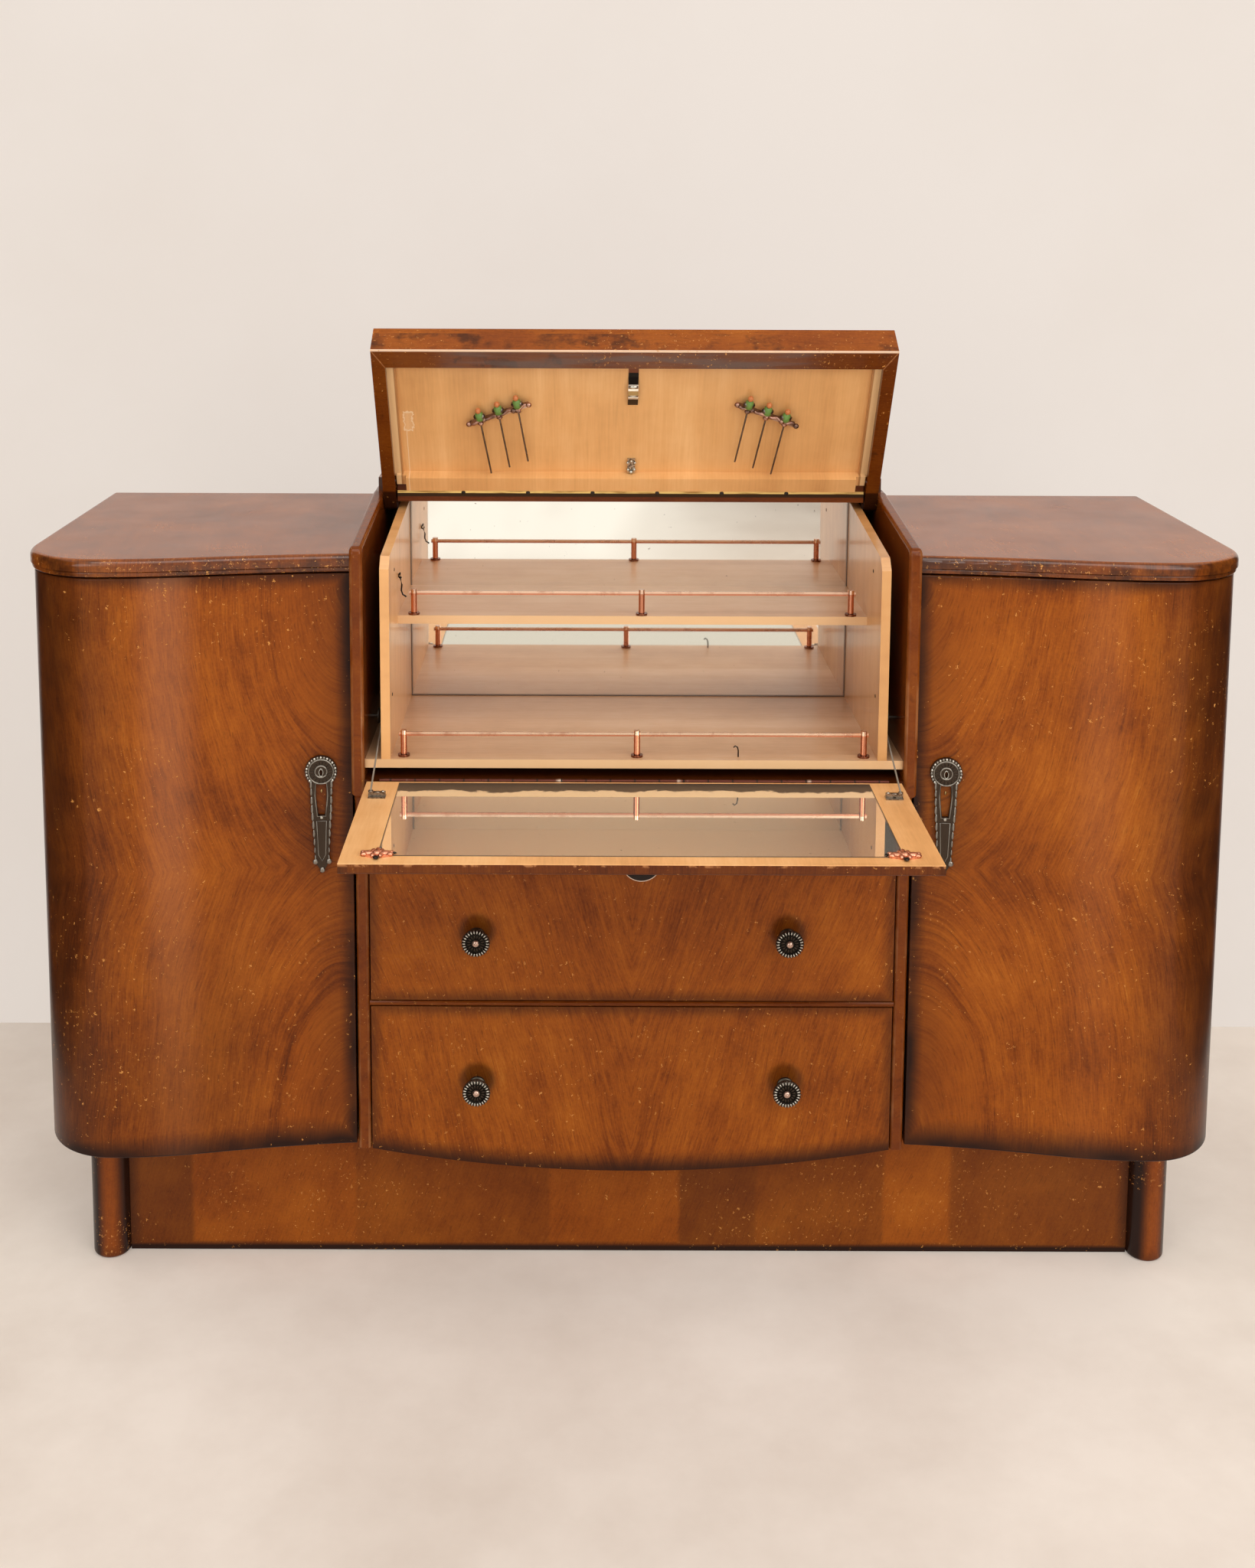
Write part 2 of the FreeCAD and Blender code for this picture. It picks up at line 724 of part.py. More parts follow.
def make_pull(name, side):
    """A keyhole plate with an open grip and a pointed tail, flat on the door's front."""
    head = s.pull_head_radius
    waist = s.pull_grip_half_width
    join = root(head * head - waist * waist)
    foot = s.pull_waist_half_width
    tail = s.pull_tail_half_width
    slot = s.pull_slot_half_width
    outline = [
        (waist, -join, head, 1),
        (0, head, head, 1),
        (-waist, -join),
        (-foot, -s.pull_grip_end),
        (-tail, -s.pull_tail_end),
        (0, -s.pull_tip_end),
        (tail, -s.pull_tail_end),
        (foot, -s.pull_grip_end),
    ]
    plate = prism("pull_plate_" + name, "XZ", outline, -s.pull_plate_thickness, 0)
    middle = -(s.pull_slot_top + s.pull_slot_bottom) / 2
    hole = prism("pull_hole_" + name, "XZ", [
        (-slot * 0.6, -s.pull_slot_bottom), (slot * 0.6, -s.pull_slot_bottom),
        (slot, middle), (slot, -s.pull_slot_top), (-slot, -s.pull_slot_top), (-slot, middle),
    ], -(s.pull_plate_thickness + s.overrun), s.overrun)
    deep = s.pull_plate_thickness + s.overrun * 2
    eye = cylinder("keyhole_" + name, s.keyhole_radius,
                   (0, -(s.pull_plate_thickness + s.overrun), 0), deep, "y")
    half = s.keyhole_radius / 2
    slit = box("keyhole_slit_" + name, (-half, half),
               (-(s.pull_plate_thickness + s.overrun), s.overrun), (-s.keyhole_drop, ZERO))
    pull = cut("pull_with_slot_" + name, plate, [hole, eye, slit])
    hollow = bow(ZERO)
    x = PULL_SIDE
    lift = head * head / (hollow[4] * 2)
    skin = s.door_thickness + lift
    case = box("lock_case_" + name, (-s.lock_half_width, s.lock_half_width),
               (skin, skin + s.lock_thickness), (-s.lock_half_height, s.lock_half_height))
    lean = Size(math.degrees(math.asin((x - hollow[7]).value / hollow[4].value)),
                "asin(%s / %s)" % ((x - hollow[7]).text, hollow[4].text))
    fitting = group("pull_and_lock_" + name, [pull, case])
    place(fitting, (x * side, bow_y(ZERO, x) - lift, s.pull_head_height), (0, 0, 1),
          lean * -side)
    keep(fitting, "door_pull_and_lock_" + name)


def butt_hinge(name, radius, leaf, offset, width, length, knuckles, base, axis, angle):
    """Two leaves that face each other, behind a barrel along local Z at the origin. The
    carcase keeps the odd knuckles and the pin, the moving leaf turns on it."""
    gap = s.hinge_gap
    step = (length - gap * (knuckles - 1)) / knuckles
    fixed = [box(name + "_plate_fixed", (-width, -(radius + gap)), (offset, offset + leaf),
                 (ZERO, length)),
             cylinder(name + "_pin", s.hinge_pin_radius, (ZERO, ZERO, ZERO), length, "z")]
    moving = [box(name + "_plate_moving", (-width, -(radius + gap)), (-(offset + leaf), -offset),
                  (ZERO, length))]
    bores = []
    for number in range(knuckles):
        low = (step + gap) * number
        carcase = number % 2 == 0
        kind = "%s_knuckle_%d" % (name, number)
        barrel = cylinder(kind, radius, (ZERO, ZERO, low), step, "z")
        reach = offset if carcase else -(offset + leaf)
        tab = box(kind + "_tab", (-(radius + gap * 2), -(radius * 0.4)), (reach, reach + leaf),
                  (low, low + step))
        (fixed if carcase else moving).extend([barrel, tab])
        if not carcase:
            bores.append(cylinder(kind + "_bore", s.hinge_pin_radius + s.hinge_pin_play,
                                  (ZERO, ZERO, low - gap), step + gap * 2, "z"))
    carcase_leaf = fuse(name + "_carcase", fixed)
    moving_leaf = cut(name + "_moving", fuse(name + "_moving_solid", moving), bores)
    for item in (carcase_leaf, moving_leaf):
        place(item, base)
        item.Placement = FreeCAD.Placement(item.Placement.Base, FreeCAD.Rotation(V(*axis), angle))
    return carcase_leaf, moving_leaf


def make_door(name, side):
    door = prism("door_panel_" + name, "XY", mirrored(door_outline(), side),
                 DOOR_BOTTOM, UNDER_TOP - s.door_clearance)
    low = DOOR_BOTTOM.value
    high = (UNDER_TOP - s.door_clearance).value
    inner_x = (s.upright_half_span + s.door_clearance).value
    margin = s.edge_margin.value
    rear_y = (FRONT + s.door_rear_edge - s.edge_margin).value
    outer_face = [bow(ZERO)[1].value, DOOR_HALF_WIDTH.value - s.door_thickness.value / 2]

    def outside(edge, middle):
        on_edge = min(abs(middle.z - low), abs(middle.z - high)) < MATCH
        if not on_edge or abs(middle.x) < inner_x + margin:
            return False
        if middle.y > outer_face[0]:
            return abs(middle.x) > outer_face[1] and middle.y < rear_y
        return middle.y < door_mid_y(abs(middle.x))
    round_edges(door, s.door_edge_round, outside)
    keep(door, "door_" + name)
    make_pull(name, side)

    fixed = []
    moving = []
    axis_x = (DOOR_HALF_WIDTH + s.door_hinge_radius + s.door_hinge_offset) * side
    axis_y = FRONT + s.door_rear_edge + s.door_clearance / 2
    for level, z in (("low", DOOR_BOTTOM + s.door_hinge_inset),
                     ("high", UNDER_TOP - s.door_hinge_inset)):
        z = z if side > 0 else z + s.door_hinge_length
        z = z if level == "low" else z - s.door_hinge_length
        pair = butt_hinge("door_hinge_%s_%s" % (level, name), s.door_hinge_radius,
                          s.door_hinge_leaf, s.door_hinge_offset, s.door_hinge_width,
                          s.door_hinge_length, 3, (axis_x, axis_y, z), (0, 1, 0),
                          0 if side > 0 else 180)
        fixed.append(pair[0])
        moving.append(pair[1])
    SHARED["door_hinge_leaves_carcase"].extend(fixed)
    keep(group("door_hinge_moving_" + name, moving), "door_hinge_leaves_" + name)


def door_mid_y(x):
    """The depth halfway through the door's curved front at a distance from the middle."""
    half = s.door_thickness.value / 2
    values = [item.value for item in bow(ZERO)]
    centre_x, centre_y, corner, out_radius, in_radius, meet_x, meet_y, far_x, far_y = values
    if x > centre_x:
        return centre_y - math.sqrt(max((corner - half) ** 2 - (x - centre_x) ** 2, 0))
    if x > meet_x:
        return centre_y - corner + out_radius - math.sqrt((out_radius - half) ** 2
                                                          - (x - centre_x) ** 2)
    return far_y + math.sqrt((in_radius + half) ** 2 - (x - far_x) ** 2)


def make_upright(name, side):
    """A centre upright: stepped forward beside the cocktail box, with a sloping top."""
    nose = FRONT - s.upright_projection
    bend = s.upright_step_drop
    turn = s.upright_corner_round
    step = UPRIGHT_STEP
    top = UPRIGHT_FRONT
    blend = (bend * bend + s.upright_projection * s.upright_projection) / (
        s.upright_projection * 2)
    outline = [
        (FRONT, UPRIGHT_BOTTOM),
        (FRONT + s.plinth_setback, UPRIGHT_BOTTOM),
        (FRONT + s.plinth_setback, s.plinth_height),
        (BACK_FACE, s.plinth_height),
        (BACK_FACE, UPRIGHT_REAR_HEIGHT),
        (nose + s.upright_flat_depth, UPRIGHT_REAR_HEIGHT),
        (nose + turn, top + turn * SLOPE, turn, 1),
        (nose, top - turn),
        (nose, step, blend, -1),
        (FRONT, step - bend),
    ]
    inner = UPRIGHT_INNER if side > 0 else -s.upright_half_span
    outer = s.upright_half_span if side > 0 else -UPRIGHT_INNER
    body = prism("upright_panel_" + name, "YZ", outline, inner, outer)
    low_x = (UPRIGHT_INNER + s.edge_margin).value
    high_x = (s.upright_half_span - s.edge_margin).value
    front_y = (FRONT + s.edge_margin).value
    rear = (BACK_FACE - s.back_thickness).value

    def front_or_top(edge, middle):
        if low_x < abs(middle.x) < high_x or middle.y > rear:
            return False
        return middle.y < front_y or middle.z > top.value - turn.value
    round_edges(body, s.upright_edge_round, front_or_top)
    depth = s.lid_pin_depth
    start = UPRIGHT_INNER - s.overrun if side > 0 else -(UPRIGHT_INNER + depth)
    bore = cylinder("upright_bore_" + name, s.lid_pin_radius,
                    (start, PIVOT_Y, PIVOT_Z), depth + s.overrun, "x")
    axle = pulley_axle(name, side, s.pulley_pin_radius, "upright_axle_bore_")
    keep(cut("upright_" + name, body, [bore, axle]), "upright_" + name)


def pulley_axle(name, side, radius, prefix):
    """The pulley's axle, let into the box side and the upright beside it."""
    inner = BOX_HALF - s.box_side_thickness / 2
    length = UPRIGHT_INNER + s.upright_thickness / 2 - inner
    start = inner if side > 0 else -(inner + length)
    return cylinder(prefix + name, radius, (start, FRONT + s.pulley_back, PULLEY_Z),
                    length, "x")


def make_centre():
    """Boards that tie the two uprights together, and the fixed top behind the lid."""
    width = (-UPRIGHT_INNER, UPRIGHT_INNER)
    SHARED["back_boards"].append(
        box("centre_back_board", (-s.upright_half_span, s.upright_half_span),
            (BACK_FACE, BACK), (s.plinth_height, UPRIGHT_REAR_HEIGHT)))
    keep(box("centre_floor_board", width, (FRONT + s.plinth_setback, BACK_FACE),
             (s.plinth_height, LOWER_RUNNER_TOP - s.runner_height)), "centre_floor")
    bead = BEAD_RAIL_TOP - BEAD_RAIL_BOTTOM
    keep(prism("bead_rail_body", "YZ", [
        (FRONT - s.bead_projection, BEAD_RAIL_BOTTOM + bead / 4),
        (FRONT, BEAD_RAIL_BOTTOM),
        (FRONT + s.bead_rail_depth, BEAD_RAIL_BOTTOM),
        (FRONT + s.bead_rail_depth, BEAD_RAIL_TOP),
        (FRONT, BEAD_RAIL_TOP),
        (FRONT - s.bead_projection, BEAD_RAIL_TOP - bead / 4),
    ], width[0], width[1]), "drawer_bead_rail")
    hinge_face = FALL_AXIS_Y + s.hinge_leaf_offset + s.hinge_leaf_thickness
    rail_top = FALL_AXIS_Z
    rail_back = FRONT + s.board_thickness
    keep(prism("fall_rail_body", "YZ", [
        (FRONT, FALL_RAIL_BOTTOM),
        (rail_back, FALL_RAIL_BOTTOM),
        (rail_back, rail_top),
        (hinge_face, rail_top),
        (hinge_face, UPRIGHT_STEP),
        (FRONT, FALL_RAIL_STEP),
    ], width[0], width[1]), "fall_rail")

    board_low = UPRIGHT_REAR_HEIGHT
    board_high = board_low + s.rear_top_thickness
    board_start = FRONT + s.rear_top_start
    half = REAR_TOP_HALF
    keep(box("rear_top_board", (-half, half), (board_start, BACK), (board_low, board_high)),
         "rear_top")
    rail_start = FRONT + s.hinge_rail_start
    rail_low = board_low - s.hinge_rail_drop
    strip_low = rail_low + s.brass_strip_lift
    keep(box("lid_rail_board", (-BOX_HALF, BOX_HALF), (rail_start, board_start),
             (rail_low, board_high)), "lid_rear_rail")
    keep(box("brass_strip_bar", (-BOX_HALF, BOX_HALF),
             (rail_start - s.brass_strip_thickness, rail_start),
             (strip_low, strip_low + s.brass_strip_height)), "brass_strip")


def make_cocktail_box():
    floor = box("box_floor_board", (-UPRIGHT_INNER, UPRIGHT_INNER), (BOX_FRONT, BOX_BACK),
                (BOX_FLOOR, BOX_FLOOR_TOP))
    keep(floor, "box_floor")
    for name, side in SIDES:
        rise = s.box_depth * SLOPE
        chamfer = s.box_chamfer
        x = span(side, BOX_INNER, BOX_HALF)
        wall = prism("box_side_panel_" + name, "YZ", [
            (BOX_FRONT, BOX_FLOOR_TOP),
            (BOX_BACK, BOX_FLOOR_TOP),
            (BOX_BACK, BOX_SIDE_FRONT + rise),
            (BOX_FRONT + chamfer, BOX_SIDE_FRONT + chamfer * SLOPE),
            (BOX_FRONT, BOX_SIDE_FRONT - chamfer),
        ], x[0], x[1])
        axle = pulley_axle(name, side, s.pulley_pin_radius, "box_axle_bore_")
        keep(cut("box_side_" + name, wall, [axle]), "box_side_" + name)
    rise = s.box_depth * SLOPE
    keep(box("box_back_board", (-BOX_HALF, BOX_HALF),
             (BOX_BACK, BOX_BACK + s.box_back_thickness),
             (BOX_FLOOR, UPRIGHT_REAR_HEIGHT)), "box_back")
    keep(box("mirror_back_glass", (-BOX_INNER, BOX_INNER), (MIRROR_FACE, BOX_BACK),
             (BOX_FLOOR_TOP, BOX_SIDE_FRONT + rise)), "box_back_mirror")
    shelf_front = FRONT + s.box_shelf_front
    shelf_top = BOX_SHELF + s.box_shelf_thickness
    keep(box("box_shelf_board", (-BOX_INNER, BOX_INNER), (shelf_front, MIRROR_FACE),
             (BOX_SHELF, shelf_top)), "box_shelf")
    make_gallery("upper", GALLERY_HALF, s.upper_centre_post_shift,
                 shelf_front + s.gallery_inset, shelf_top)
    make_gallery("lower", LOWER_GALLERY_HALF, s.lower_centre_post_shift,
                 BOX_FRONT + s.lower_gallery_setback, BOX_FLOOR_TOP)


def make_gallery(name, half_span, shift, y, level):
    """A copper rail through three round posts, each on a flat foot. The middle post stands
    a little to the right."""
    rail_low = level + s.gallery_lift
    over = s.gallery_end_overrun
    width = s.gallery_rail_width / 2
    pieces = [box("gallery_bar_" + name, (-(half_span + over), half_span + over),
                  (y - width, y + width), (rail_low, rail_low + s.gallery_rail_height))]
    for number, x in enumerate((-half_span, shift, half_span)):
        post = "gallery_%s_post_%d" % (name, number)
        pieces.append(cylinder(post, s.gallery_post_radius, (x, y, level),
                               s.gallery_lift + s.gallery_rail_height + s.gallery_post_rise,
                               "z"))
        pieces.append(cylinder(post + "_collar", s.gallery_collar_radius, (x, y, level),
                               s.gallery_collar_height, "z"))
    SHARED["gallery_rails"].append(fuse("gallery_" + name, pieces))


def make_drawer(name, bottom, top, apron, runner_top):
    front_half = UPRIGHT_INNER - s.drawer_side_gap
    face_back = FRONT + s.drawer_front_thickness
    outline = [(-front_half, bottom), (front_half, bottom), (front_half, top), (-front_half, top)]
    if apron:
        sweep = (front_half * front_half + apron * apron) / (apron * 2)
        outline[0] = (-front_half, bottom, sweep, 1)
    keep(prism("drawer_face_" + name, "XZ", outline, FRONT, face_back), name + "_drawer_front")

    side_half = UPRIGHT_INNER - s.drawer_side_inset
    wall = s.drawer_side_thickness
    rear = FRONT + s.drawer_depth
    low = runner_top + s.runner_clearance
    high = top - s.drawer_side_top_gap
    shell = box("drawer_shell_" + name, (-side_half, side_half), (face_back, rear), (low, high))
    inner = (-(side_half - wall), side_half - wall)
    base = low + s.drawer_bottom_lift
    floor = base + s.drawer_bottom_thickness
    above = box("drawer_hollow_" + name, inner, (face_back - s.overrun, rear - wall),
                (floor, high + s.overrun))
    below = box("drawer_under_" + name, inner, (face_back - s.overrun, rear - wall),
                (low - s.overrun, base))
    keep(cut("drawer_sides_" + name, shell, [above, below]), name + "_drawer_tray")
    for side_name, side in SIDES:
        x = span(side, UPRIGHT_INNER - s.runner_width, UPRIGHT_INNER)
        SHARED["drawer_runners"].append(
            box("runner_%s_%s" % (name, side_name), x,
                (FRONT + s.bead_rail_depth, BACK_FACE),
                (runner_top - s.runner_height, runner_top)))


def make_knobs(name, height):
    """Two turned rosette knobs: foot, neck, dished head with a raised rim, and a boss."""
    rim = s.knob_radius
    knobs = []
    for side_name, side in SIDES:
        knob = turned("knob_%s_%s" % (name, side_name), [
            (ZERO, ZERO),
            (s.knob_foot_radius, ZERO),
            (s.knob_foot_radius, s.knob_foot_thickness),
            (s.knob_neck_radius, s.knob_foot_thickness * 2),
            (s.knob_neck_radius, s.knob_reach - s.knob_rim * 2.2),
            (rim, s.knob_reach - s.knob_rim),
            (rim, s.knob_reach - s.knob_rim / 2),
            (rim - s.knob_rim / 2, s.knob_reach),
            (rim - s.knob_rim, s.knob_reach - s.knob_rim / 2),
            (s.knob_boss_radius, s.knob_reach - s.knob_rim / 2),
            (s.knob_boss_radius, s.knob_reach - s.knob_rim / 2 + s.knob_boss_height / 2),
            (ZERO, s.knob_reach - s.knob_rim / 2 + s.knob_boss_height),
        ])
        place(knob, (s.knob_half_spacing * side, FRONT, height))
        knob.Placement = FreeCAD.Placement(knob.Placement.Base,
                                           FreeCAD.Rotation(V(1, 0, 0), 90))
        knobs.append(knob)
    keep(group("knobs_" + name, knobs), name + "_drawer_knobs")


def make_fall():
    """The fall: walnut panel, maple lining, inset mirror, its clips, brackets and finger pull."""
    rear_y = FALL_AXIS_Y - s.hinge_leaf_offset - s.hinge_leaf_thickness
    top = FALL_AXIS_Z
    under = top - s.fall_thickness
    core_top = top - s.fall_lining_thickness
    half = FALL_HALF
    curve = s.fall_edge_round
    core = prism("fall_core", "YZ", [
        (FALL_FRONT + curve, under),
        (rear_y, under),
        (rear_y, core_top),
        (FALL_FRONT, core_top),
        (FALL_FRONT, under + curve, curve, 1),
    ], -half, half)
    mirror_front = FALL_FRONT + s.mirror_front_margin
    mirror_rear = FALL_AXIS_Y - s.mirror_rear_margin
    mirror_x = (-MIRROR_HALF, MIRROR_HALF)
    mirror_z = (top - s.fall_mirror_thickness, top)
    pocket = box("fall_pocket", mirror_x, (mirror_front, mirror_rear),
                 (mirror_z[0], top + s.overrun))
    reach = s.pull_half_width
    drop = s.pull_drop
    curl = (reach * reach + drop * drop) / (drop * 2)
    lip = prism("finger_pull_lip", "XZ", [(-reach, under, curl, 1), (reach, under)],
                FALL_FRONT + curve, FALL_FRONT + s.pull_depth)
    keep(cut("fall_board", fuse("fall_with_lip", [core, lip]), [pocket]), "fall_panel")
    sheet = box("fall_sheet", (-half, half), (FALL_FRONT, rear_y), (core_top, top))
    window = box("fall_window", mirror_x, (mirror_front, mirror_rear),
                 (core_top - s.overrun, top + s.overrun))
    keep(cut("fall_lining_sheet", sheet, [window]), "fall_lining")
    keep(box("fall_glass", mirror_x, (mirror_front, mirror_rear), mirror_z), "fall_mirror")

    clips = []
    brackets = []
    for name, side in SIDES:
        mid_x = MIRROR_HALF * side
        long = s.clip_length / 2
        wide = s.clip_width / 2
        edge = (long * long + wide * wide) / (wide * 2)
        clips.append(prism("clip_" + name, "XY", [
            (mid_x - long, mirror_front, edge, 1), (mid_x + long, mirror_front, edge, 1),
        ], top, top + s.clip_thickness))
        x = span(side, BRACKET_INNER, BRACKET_OUTER)
        y = FALL_AXIS_Y - s.bracket_distance
        wall = s.bracket_wall
        foot = box("bracket_foot_" + name, x, (y - s.bracket_depth / 2, y + s.bracket_depth / 2),
                   (top, top + wall))
        ear = box("bracket_ear_" + name, (x[0], x[1]), (y - wall, y + wall),
                  (top, top + s.bracket_height))
        brackets.append(fuse("bracket_" + name, [foot, ear]))
    keep(group("clips", clips), "mirror_clips")
    keep(group("brackets", brackets), "cord_brackets")

    length = HINGE_HALF * 2
    fixed, moving = butt_hinge("fall_hinge", s.hinge_knuckle_radius, s.hinge_leaf_thickness,
                               s.hinge_leaf_offset, s.hinge_leaf_width, length, 5,
                               (HINGE_HALF, FALL_AXIS_Y, FALL_AXIS_Z),
                               (0, 1, 0), -90)
    keep(fixed, "fall_hinge_leaf_carcase")
    keep(moving, "fall_hinge_leaf_fall")


# The lid is drawn level about its pivot: Y back from the pivot, Z up from it. The front edge
# lies at the negative end of Y. Every lid piece is then turned open by one placement.
LID_REAR = -s.lid_arm_length
LID_FRONT = LID_REAR - s.lid_length
LID_UNDER = -s.lid_pivot_lift
LID_TOP = LID_UNDER + s.lid_height
LID_INNER = LID_HALF - s.lid_side_width
LID_FACE = LID_UNDER + s.lid_recess


def hang(item, node):
    """Turns a finished lid piece open about the pivot and keeps it."""
    place(item, (ZERO, PIVOT_Y, PIVOT_Z), (-1, 0, 0), s.lid_open_angle)
    return keep(item, node)


def hang_shared(node):
    """The same for all the pieces that share one node."""
    hang(group(node + "_set", SHARED.pop(node)), node)


def lid_point(along, up):
    """A point (y, z) of the open lid from its place in the level lid."""
    c = cosine(s.lid_open_angle)
    q = sine(s.lid_open_angle)
    return PIVOT_Y + along * c + up * q, PIVOT_Z - along * q + up * c


def make_lid():
    half = LID_HALF
    frame_top = LID_TOP - s.lid_top_thickness
    tail = LID_REAR + s.lid_rear_overhang
    top = prism("lid_top_panel", "XY", [
        (-half, LID_FRONT), (half, LID_FRONT), (half, tail), (-half, tail),
    ], frame_top, LID_TOP)
    high = LID_TOP.value
    round_edges(top, s.lid_edge_round, lambda e, m: abs(m.z - high) < MATCH)
    hang(top, "lid_top")

    members = [
        box("lid_front_rim", (-half, half), (LID_FRONT, LID_FRONT + s.lid_front_width),
            (LID_UNDER, frame_top)),
        box("lid_rear_rim", (-LID_INNER, LID_INNER), (LID_REAR - s.lid_rear_width, LID_REAR),
            (LID_FACE, frame_top)),
    ]
    bores = []
    nose = s.lid_pivot_lift
    for name, side in SIDES:
        x = span(side, LID_INNER, half)
        members.append(prism("lid_side_rim_" + name, "YZ", [
            (ZERO, -nose, nose, 1),
            (nose, ZERO, nose, 1),
            (ZERO, nose),
            (LID_REAR, nose),
            (LID_REAR, frame_top),
            (LID_FRONT + s.lid_front_width, frame_top),
            (LID_FRONT + s.lid_front_width, LID_UNDER),
        ], x[0], x[1]))
        bores.append(cylinder("lid_bore_" + name, s.lid_pin_radius + s.lid_pin_play,
                              (x[0] - s.overrun, ZERO, ZERO), s.lid_side_width + s.overrun * 2,
                              "x"))
    hang(cut("lid_frame", fuse("lid_rims", members), bores), "lid_frame")

    lining_rear = LID_REAR - s.lid_rear_width
    lining_front = LID_FRONT + s.lid_front_width
    sheet = box("lid_sheet", (-LID_INNER, LID_INNER), (lining_front, lining_rear),
                (LID_FACE, LID_FACE + s.lining_thickness))
    strips = []
    for name, side in SIDES:
        x = span(side, LID_INNER - s.lining_fillet_width, LID_INNER)
        strips.append(box("lid_strip_" + name, x, (lining_front, lining_rear),
                          (LID_FACE - s.lining_fillet_height, LID_FACE)))
    ledge_half = BOX_INNER - s.lid_ledge_clearance
    lip_rear = LID_REAR + s.lid_lip_length
    ledge_front = lining_rear - s.lining_thickness
    ledge = prism("lid_ledge", "YZ", [
        (ledge_front, LID_UNDER),
        (lip_rear, LID_UNDER),
        (lip_rear, LID_UNDER + s.lid_lip_height),
        (LID_REAR, LID_UNDER + s.lid_lip_height),
        (LID_REAR, LID_FACE),
        (ledge_front, LID_FACE),
    ], -ledge_half, ledge_half)
    for name, side in SIDES:
        x = span(side, ledge_half, LID_INNER - s.arm_thickness - s.lid_ledge_end_gap)
        strips.append(box("lid_ledge_end_" + name, x, (ledge_front, LID_REAR),
                          (LID_UNDER + s.lid_ledge_end_rise, LID_FACE)))
    hang(fuse("lid_lining", [sheet, ledge] + strips), "lid_lining")

    for name, side in SIDES:
        make_lid_arm(name, side)
        make_picks(name, side)
    make_latch()
    for node in ("lid_arms", "pick_racks", "cocktail_picks", "lid_latch"):
        hang_shared(node)


def make_lid_arm(name, side):
    """A steel strap on the lid's side whose tail the lifting cord pulls down."""
    half = s.arm_width / 2
    tail_y, tail_z = arm_tail()
    c = cosine(s.arm_tail_angle)
    q = sine(s.arm_tail_angle)
    x = span(side, LID_INNER - s.arm_thickness, LID_INNER)
    strap = prism("arm_strap_" + name, "YZ", [
        (-s.arm_lead, half),
        (-s.arm_lead, -half),
        (ZERO, -half),
        (tail_y - q * half, tail_z - c * half),
        (tail_y + q * half, tail_z + c * half),
        (ZERO, half),
    ], x[0], x[1])
    bore = cylinder("arm_bore_" + name, s.lid_pin_radius + s.lid_pin_play,
                    (x[0] - s.overrun, ZERO, ZERO), s.arm_thickness + s.overrun * 2, "x")
    eye_inner = LID_INNER - s.arm_thickness
    eye_outer = CORD_SIDE + s.cord_radius * 2
    eye_x = eye_inner if side > 0 else -eye_outer
    eye = cylinder("arm_eye_" + name, s.cord_radius * 2,
                   (eye_x, tail_y * s.arm_eye_share, tail_z * s.arm_eye_share),
                   eye_outer - eye_inner, "x")
    SHARED["lid_arms"].append(
        cut("lid_arm_" + name, fuse("arm_solid_" + name, [strap, eye]), [bore]))


def arm_tail():
    """The end of the arm in the level lid."""
    return (s.arm_tail_length * cosine(s.arm_tail_angle),
            -(s.arm_tail_length * sine(s.arm_tail_angle)))


def make_picks(name, side):
    """A small rack across the lid's lining with a row of bird-topped picks in it."""
    face = LID_FACE
    centre_x = s.rack_centre * side
    centre_y = LID_REAR - s.rack_along
    bar = box("rack_bar_" + name, (-s.rack_length / 2, s.rack_length / 2),
              (-s.rack_width / 2, s.rack_width / 2), (-s.rack_height, ZERO))
    slant = s.rack_slant_angle * side
    half = s.rack_length / 2
    place(bar, (centre_x - half * cosine(slant), centre_y - half * sine(slant),
                face - s.rack_height), (0, 0, 1), slant)
    for number, share in enumerate((-1, 0, 1)):
        head_x = centre_x + s.pick_spacing * share * cosine(slant)
        head_y = centre_y + s.pick_spacing * share * sine(slant) - s.rack_width
        level = face - s.rack_height - s.pick_radius
        label = "pick_%d_%s" % (number, name)
        stick = cylinder(label + "_stick", s.pick_radius, (ZERO, ZERO, ZERO), s.pick_length, "y")
        bird = DOC.addObject("Part::Ellipsoid", label + "_bird")
        bird.Angle1, bird.Angle2, bird.Angle3 = -90, 90, 360
        for prop, size in (("Radius1", s.bird_radius), ("Radius2", s.bird_length / 2),
                           ("Radius3", s.bird_radius)):
            setattr(bird, prop, size.value)
            bind(bird, prop, size)
        place(bird, (ZERO, -s.bird_length / 4, ZERO))
        pick = fuse(label, [stick, bird])
        place(pick, (head_x, head_y, level), (0, 0, 1), s.pick_slant_angle * side)
        SHARED["cocktail_picks"].append(pick)
    SHARED["pick_racks"].append(bar)


